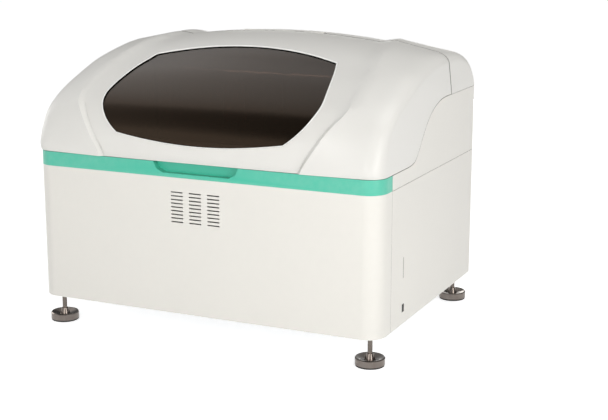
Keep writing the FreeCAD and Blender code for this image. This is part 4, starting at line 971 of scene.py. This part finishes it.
@dataclass
class SampleTubes:
    """Glass tubes with serum and coloured caps on the tray's outer ring."""

    shop: Workshop
    centre: Flat
    floor: float
    ring: float = 0.170
    count: int = 36
    steps: int = 16
    radius: float = 0.008
    wall: float = 0.0009
    top: float = 0.412
    # The tube's round foot outside and inside, in shares of its radius.
    foot_shape: Profile = ((0.0, 0.0), (0.45, 0.1), (0.8, 0.35), (1.0, 0.9))
    bore_shape: Profile = ((0.6, 0.4), (0.0, 0.225))
    # The filling's round foot, in shares of its own radius across and the tube's upwards.
    serum_shape: Profile = ((0.0, 0.25), (0.7, 0.5), (1.0, 1.1))
    serum_gap: float = 0.0002
    # The filling's level as a share of the tube: the lowest, and how far the levels spread.
    fill_low: float = 0.45
    fill_spread: float = 0.3
    fill_levels: int = 5
    fill_stride: int = 7
    blue_every: int = 3
    cap_top: float = 0.421
    cap_radius: float = 0.0094
    cap_plug: float = 0.012
    cap_steps: int = 18
    # The cap's outline above the tube, in shares of its radius and height.
    cap_shape: Profile = ((1.0, 0.0), (1.0, 0.8), (0.85, 1.0), (0.5, 1.0), (0.4, 0.8),
                          (0.0, 0.8))

    def build(self) -> None:
        """Builds the tubes in place of the plain ones."""
        glass, serum = bmesh.new(), bmesh.new()
        caps = {colour: bmesh.new() for colour in TubeCap}
        tall, bore = self.top - self.floor, self.radius - self.wall
        full = bore - self.serum_gap
        tube = [*Shapes.scaled(self.foot_shape, self.radius, self.radius), (self.radius, tall),
                (bore, tall), (bore, self.radius),
                *Shapes.scaled(self.bore_shape, self.radius, self.radius)]
        cap = [(0.0, -self.cap_plug), (bore, -self.cap_plug), (bore, 0.0),
               *Shapes.scaled(self.cap_shape, self.cap_radius, self.cap_top - self.top)]
        for index, x, y, _ in Shapes.around(self.centre, self.ring, self.count):
            Shapes.turned(glass, tube, (x, y, self.floor), self.steps)
            share = index * self.fill_stride % self.fill_levels / self.fill_levels
            level = tall * (self.fill_low + self.fill_spread * share)
            filling = [*Shapes.scaled(self.serum_shape, full, self.radius), (full, level),
                       (0.0, level)]
            Shapes.turned(serum, filling, (x, y, self.floor), self.steps)
            colour = TubeCap.RED if index % self.blue_every else TubeCap.BLUE
            Shapes.turned(caps[colour], cap, (x, y, self.top), self.cap_steps)
        shown = self.shop.piece("tube_glass", glass, "clear_glass", "reagent_carousel",
                                "tube_glass")
        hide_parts("sample_tubes")
        self.shop.piece("tube_serum", serum, "serum", "reagent_carousel", "tube_glass")
        for colour, mesh in caps.items():
            self.shop.piece(f"tube_{colour.value}", mesh, colour.value, "reagent_carousel",
                            "tube_glass")


@dataclass
class ReagentBottles:
    """Rounded bottles with ribbed caps and blank labels on the tray's inner ring."""

    shop: Workshop
    centre: Flat
    floor: float
    ring: float = 0.113
    count: int = 16
    length: float = 0.058
    width: float = 0.026
    shoulder: float = 0.405
    corner: float = 0.004
    corner_steps: int = 4
    neck_steps: int = 24
    neck_shape: Profile = ((0.0135, -0.002), (0.0122, 0.0015), (0.0095, 0.0025),
                           (0.0095, 0.008))
    cap_foot: float = 0.409
    cap_steps: int = 32
    cap_shape: Profile = ((0.0, 0.0), (0.0108, 0.0), (0.0109, 0.0008), (0.0108, 0.0105),
                          (0.0098, 0.0126), (0.006, 0.0129), (0.0055, 0.0124), (0.0, 0.0124))
    rib_count: int = 20
    rib_ring: float = 0.0106
    rib_middle: float = 0.0055
    rib_size: Point = (0.0007, 0.0012, 0.0085)
    rib_edge: float = 0.0002
    # The shares of the bottle's length and height that a label covers.
    label_long: float = 0.72
    label_tall: float = 0.6
    label_thick: float = 0.0004
    label_edge: float = 0.0001

    def build(self) -> None:
        """Builds the bottles in place of the plain ones."""
        flasks, caps, labels = bmesh.new(), bmesh.new(), bmesh.new()
        tall, middle = self.shoulder - self.floor, (self.floor + self.shoulder) / 2
        for _, x, y, angle in Shapes.around(self.centre, self.ring, self.count):
            Shapes.block(flasks, (x, y, middle), (self.length, self.width, tall), self.corner,
                         angle, self.corner_steps)
            Shapes.turned(flasks, self.neck_shape, (x, y, self.shoulder), self.neck_steps)
            self.cap(caps, x, y)
            size = (self.length * self.label_long, self.label_thick, tall * self.label_tall)
            for side in (-1, 1):
                away = math.radians(angle + 90 * side)
                place = (x + self.width / 2 * math.cos(away),
                         y + self.width / 2 * math.sin(away), middle)
                Shapes.block(labels, place, size, self.label_edge, angle, segments=1)
        shown = self.shop.piece("bottle_bodies", flasks, "bottle_plastic", "reagent_carousel",
                                "bottle_plastic")
        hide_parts("reagent_bottles")
        self.shop.piece("bottle_caps", caps, "cap_white", "reagent_carousel", "bottle_plastic")
        self.shop.piece("bottle_labels", labels, "label_paper", "reagent_carousel",
                        "bottle_plastic")

    def cap(self, mesh: Mesh, x: float, y: float) -> None:
        """Adds one ribbed screw cap.

        Args:
            mesh: The mesh to add to.
            x: Where the bottle stands across.
            y: Where it stands in depth.
        """
        Shapes.turned(mesh, self.cap_shape, (x, y, self.cap_foot), self.cap_steps)
        height = self.cap_foot + self.rib_middle
        for _, rib_x, rib_y, angle in Shapes.around((x, y), self.rib_ring, self.rib_count):
            Shapes.block(mesh, (rib_x, rib_y, height), self.rib_size, self.rib_edge, angle,
                         segments=1)


@dataclass
class ReagentCarousel(Assembly):
    """The turning tray with its sample tubes, bottles and knob."""

    dressings: Dressings = (
        dressed("spun_aluminium", "reagent_bowl"),
        dressed("tray_plastic", "reagent_tray"),
        dressed("ground_steel", "reagent_spindle"),
        dressed("rocker_gloss", "carousel_knob", edge=0.001),
    )
    centre: Flat = (-0.240, -0.095)
    floor: float = 0.342

    def add_pieces(self) -> None:
        """Stands the tubes and the bottles in the tray."""
        SampleTubes(self.shop, self.centre, self.floor).build()
        ReagentBottles(self.shop, self.centre, self.floor).build()


@dataclass
class ReactionCarousel(Assembly):
    """The turning ring of cuvettes, the lamp block and the carousels' motors."""

    dressings: Dressings = (
        dressed("spun_aluminium", "reaction_bowl"),
        dressed("anodised_grey", "reaction_ring", edge=0.0004),
        dressed("ground_steel", "reaction_spindle"),
        dressed("cuvette_clear", "cuvettes"),
        dressed("motor_paint", "photometer", "carousel_motors", edge=0.0008),
    )


@dataclass
class SamplingArm(Assembly):
    """The lifting and swinging arm with its needle."""

    dressings: Dressings = (
        dressed("column_paint", "probe_column", edge=0.001),
        dressed("ground_steel", "probe_lift_rod", "probe_needle"),
        dressed("anodised_grey", "probe_arm", edge=0.0005),
        dressed("arm_cover", "probe_cover"),
    )


@dataclass
class CuvetteWasher(Assembly):
    """The post with its lifting head and nozzles."""

    dressings: Dressings = (
        dressed("anodised_grey", "washer_post", edge=0.0006),
        dressed("column_paint", "washer_head", edge=0.0008),
        dressed("ground_steel", "washer_nozzles"),
    )


@dataclass
class SyringePump(Assembly):
    """The dosing syringe inside the casing."""

    dressings: Dressings = (
        dressed("anodised_grey", "syringe_frame", "syringe_plunger", edge=0.0005),
        dressed("clear_glass", "syringe_barrel"),
    )


@dataclass
class Electrics(Assembly):
    """The supply, the board, the fan, the inlet, the ports and the switch."""

    dressings: Dressings = (
        dressed("zinc_sheet", "power_supply", edge=0.001),
        dressed("board_green", "control_board"),
        dressed("black_plastic", "fan_frame", "fan_rotor", "power_inlet", "switch_body",
                edge=0.0004),
        dressed("rocker_gloss", "power_rocker", edge=0.0004),
        dressed("foot_chrome", "fan_guard"),
        dressed("turned_brass", "fluid_ports", edge=0.0004),
    )
    board_centre: Flat = (0.020, 0.210)
    board_top: float = 0.0926
    capacitor_steps: int = 20
    capacitor_shape: Profile = ((0.0, 0.0), (0.0052, 0.0), (0.0052, 0.0012), (0.0049, 0.002),
                                (0.0052, 0.0028), (0.0052, 0.0036), (0.0046, 0.004),
                                (0.0, 0.004))
    capacitor_places: Profile = ((-0.100, 0.060), (-0.082, 0.060), (-0.100, -0.062),
                                 (0.098, 0.058), (0.098, -0.060))
    header_size: Point = (0.034, 0.006, 0.0036)
    header_edge: float = 0.0004
    header_places: Profile = ((-0.030, 0.078), (0.030, 0.078), (0.000, -0.078))

    def add_pieces(self) -> None:
        """Stands capacitors and pin headers on the board."""
        cans, pins = bmesh.new(), bmesh.new()
        x, y = self.board_centre
        for across, deep in self.capacitor_places:
            Shapes.turned(cans, self.capacitor_shape, (x + across, y + deep, self.board_top),
                          self.capacitor_steps)
        middle = self.board_top + self.header_size[2] / 2
        for across, deep in self.header_places:
            Shapes.block(pins, (x + across, y + deep, middle), self.header_size,
                         self.header_edge)
        self.shop.piece("board_capacitors", cans, "foot_chrome", "base", "board_green")
        self.shop.piece("board_headers", pins, "black_plastic", "base", "board_green")


@dataclass(frozen=True)
class SoftBox:
    """A square studio light."""

    name: str
    place: Point
    target: Point
    width: float
    power: float
    tint: Colour = (1.0, 0.985, 0.96)


@dataclass(frozen=True)
class UnlitZone:
    """A part of the room without lamps, which shows darker in glossy surfaces."""

    heading: Point
    start: float
    end: float
    level: float

    def build(self, graph: Graph, outward: Socket) -> Socket:
        """Adds the zone to the world's graph.

        Args:
            graph: The world's graph.
            outward: The socket of the direction that a ray leaves in.

        Returns:
            The socket of the level, 1 away from the zone.
        """
        toward = graph.add("ShaderNodeVectorMath", {"operation": "DOT_PRODUCT"})
        graph.feed(toward.inputs[0], outward)
        graph.feed(toward.inputs[1], tuple(Vector(self.heading).normalized()))
        ramp = graph.add("ShaderNodeMapRange", {"interpolation_type": "SMOOTHSTEP"},
                         Value=toward.outputs["Value"], From_Min=self.start, From_Max=self.end,
                         To_Min=1.0, To_Max=self.level)
        return ramp.outputs["Result"]


@dataclass
class Studio:
    """The camera, the lights, the floor and the white surroundings."""

    eye: Point = (1.5639, -3.1186, 1.0836)
    heading: float = 24.81
    pitch: float = 13.045
    # The lens and the sensor in millimetres.
    lens: float = 78.28
    sensor: float = 36.0
    far_end: float = 100.0
    floor_half: float = 40.0
    paper: Colour = (0.86, 0.86, 0.86)
    # How brightly the surroundings light the object, and how brightly the floor shows.
    surround: float = 0.46
    glow: float = 0.62
    unlit: tuple[UnlitZone, ...] = (
        UnlitZone((-0.16, -0.57, 0.80), start=0.76, end=0.97, level=0.34),
        UnlitZone((-0.35, 0.93, 0.0), start=0.70, end=0.95, level=0.10),
        UnlitZone((1.0, 0.0, 0.0), start=-0.56, end=-0.16, level=0.40),
    )
    boxes: tuple[SoftBox, ...] = (
        SoftBox("key_box", (2.75, -1.85, 1.1), (0.1, -0.2, 0.3), width=1.4, power=33.0),
        SoftBox("fill_box", (0.2, -3.9, 1.3), (0.0, -0.2, 0.4), width=1.8, power=38.0),
        SoftBox("back_box", (-1.2, 3.9, 0.3), (0.0, 0.2, 0.3), width=1.8, power=26.0),
        SoftBox("left_box", (-3.7, 0.5, 1.3), (-0.3, 0.0, 0.5), width=1.6, power=18.0),
        SoftBox("high_box", (1.1, 0.7, 3.4), (0.2, -0.1, 0.6), width=1.0, power=15.0),
    )

    def build(self) -> None:
        """Sets up everything round the object."""
        scene = bpy.context.scene
        scene.view_settings.view_transform = "Standard"
        self.camera(scene)
        for box in self.boxes:
            self.lamp(box)
        self.floor()
        self.world(scene)

    def camera(self, scene: bpy.types.Scene) -> None:
        """Places the camera at the photograph's viewpoint.

        Args:
            scene: The scene that looks through it.
        """
        data = bpy.data.cameras.new("photo_camera")
        data.lens = self.lens
        data.sensor_width = self.sensor
        data.clip_end = self.far_end
        item = stand(data)
        item.location = self.eye
        item.rotation_euler = Euler((math.radians(90 - self.pitch), 0,
                                     math.radians(self.heading)))
        scene.camera = item

    @staticmethod
    def lamp(box: SoftBox) -> None:
        """Hangs one soft box and points it at its target.

        Args:
            box: The soft box.
        """
        data = bpy.data.lights.new(box.name, "AREA")
        data.size = box.width
        data.energy = box.power
        data.color = box.tint
        item = stand(data)
        item.location = box.place
        beam = Vector(box.target) - Vector(box.place)
        item.rotation_euler = beam.to_track_quat("-Z", "Y").to_euler()

    @staticmethod
    def shown(graph: Graph, dim: bpy.types.Node, bright: bpy.types.Node) -> bpy.types.Node:
        """Shows a shader to rays that see the room directly, in a reflection or through glass.

        Args:
            graph: The graph of the floor's material or of the world.
            dim: The shader for other rays.
            bright: The shader for those rays.

        Returns:
            The node that mixes the two.
        """
        rays = graph.add("ShaderNodeLightPath").outputs
        direct = graph.reckon("MAXIMUM", rays["Is Camera Ray"], rays["Is Glossy Ray"])
        seen = graph.reckon("MAXIMUM", direct, rays["Is Transmission Ray"])
        mix = graph.add("ShaderNodeMixShader", Fac=seen)
        graph.feed(mix.inputs[1], dim.outputs[0])
        graph.feed(mix.inputs[2], bright.outputs[0])
        return mix

    def floor(self) -> None:
        """Lays a wide pale floor that keeps the object's shadow."""
        mesh = bmesh.new()
        bmesh.ops.create_grid(mesh, x_segments=1, y_segments=1, size=self.floor_half)
        data = bpy.data.meshes.new("studio_floor")
        mesh.to_mesh(data)
        mesh.free()
        item = stand(data)
        material = bpy.data.materials.new("studio_paper")
        material.use_nodes = True
        graph = Graph(material.node_tree)
        graph.tree.nodes.clear()
        paper = graph.add("ShaderNodeBsdfDiffuse", Color=self.paper)
        glow = graph.add("ShaderNodeEmission", Color=WHITE, Strength=self.glow)
        none = graph.add("ShaderNodeEmission", Color=BLACK, Strength=0.0)
        lit = self.shown(graph, none, glow)
        both = graph.add("ShaderNodeAddShader")
        graph.feed(both.inputs[0], paper.outputs[0])
        graph.feed(both.inputs[1], lit.outputs[0])
        graph.add("ShaderNodeOutputMaterial", Surface=both.outputs[0])
        data.materials.append(material)

    def gloss_level(self, graph: Graph) -> Socket:
        """Keeps white all round, but for the room's unlit zones in reflections.

        Args:
            graph: The world's graph.

        Returns:
            The socket of the level that rays other than plain lighting see.
        """
        outward = graph.add("ShaderNodeTexCoord").outputs["Generated"]
        level = 1.0
        for zone in self.unlit:
            level = graph.reckon("MULTIPLY", level, zone.build(graph, outward))
        glossy = graph.add("ShaderNodeLightPath").outputs["Is Glossy Ray"]
        drop = graph.reckon("MULTIPLY", glossy, graph.reckon("SUBTRACT", 1.0, level))
        return graph.reckon("SUBTRACT", 1.0, drop)

    def world(self, scene: bpy.types.Scene) -> None:
        """Surrounds the set with white that lights it at a plain level.

        Args:
            scene: The scene that gets the world.
        """
        world = bpy.data.worlds.new("studio_white")
        world.use_nodes = True
        graph = Graph(world.node_tree)
        graph.tree.nodes.clear()
        plain = graph.add("ShaderNodeBackground", Color=WHITE, Strength=self.surround)
        white = graph.add("ShaderNodeBackground", Color=WHITE, Strength=self.gloss_level(graph))
        mix = self.shown(graph, plain, white)
        graph.add("ShaderNodeOutputWorld", Surface=mix.outputs[0])
        scene.world = world


def main() -> None:
    """Builds the studio and the analyzer, piece by piece."""
    logging.basicConfig(level=logging.INFO, format="%(name)s %(message)s")
    Studio().build()
    shop = Workshop()
    for assembly in (Casing, Hood, InnerFrame, LevellingFeet, ReagentCarousel, ReactionCarousel,
                     SamplingArm, CuvetteWasher, Electrics, SyringePump):
        LOG.info("assembly %s", assembly.__name__)
        assembly(shop).build()


if __name__ == "__main__":
    main()
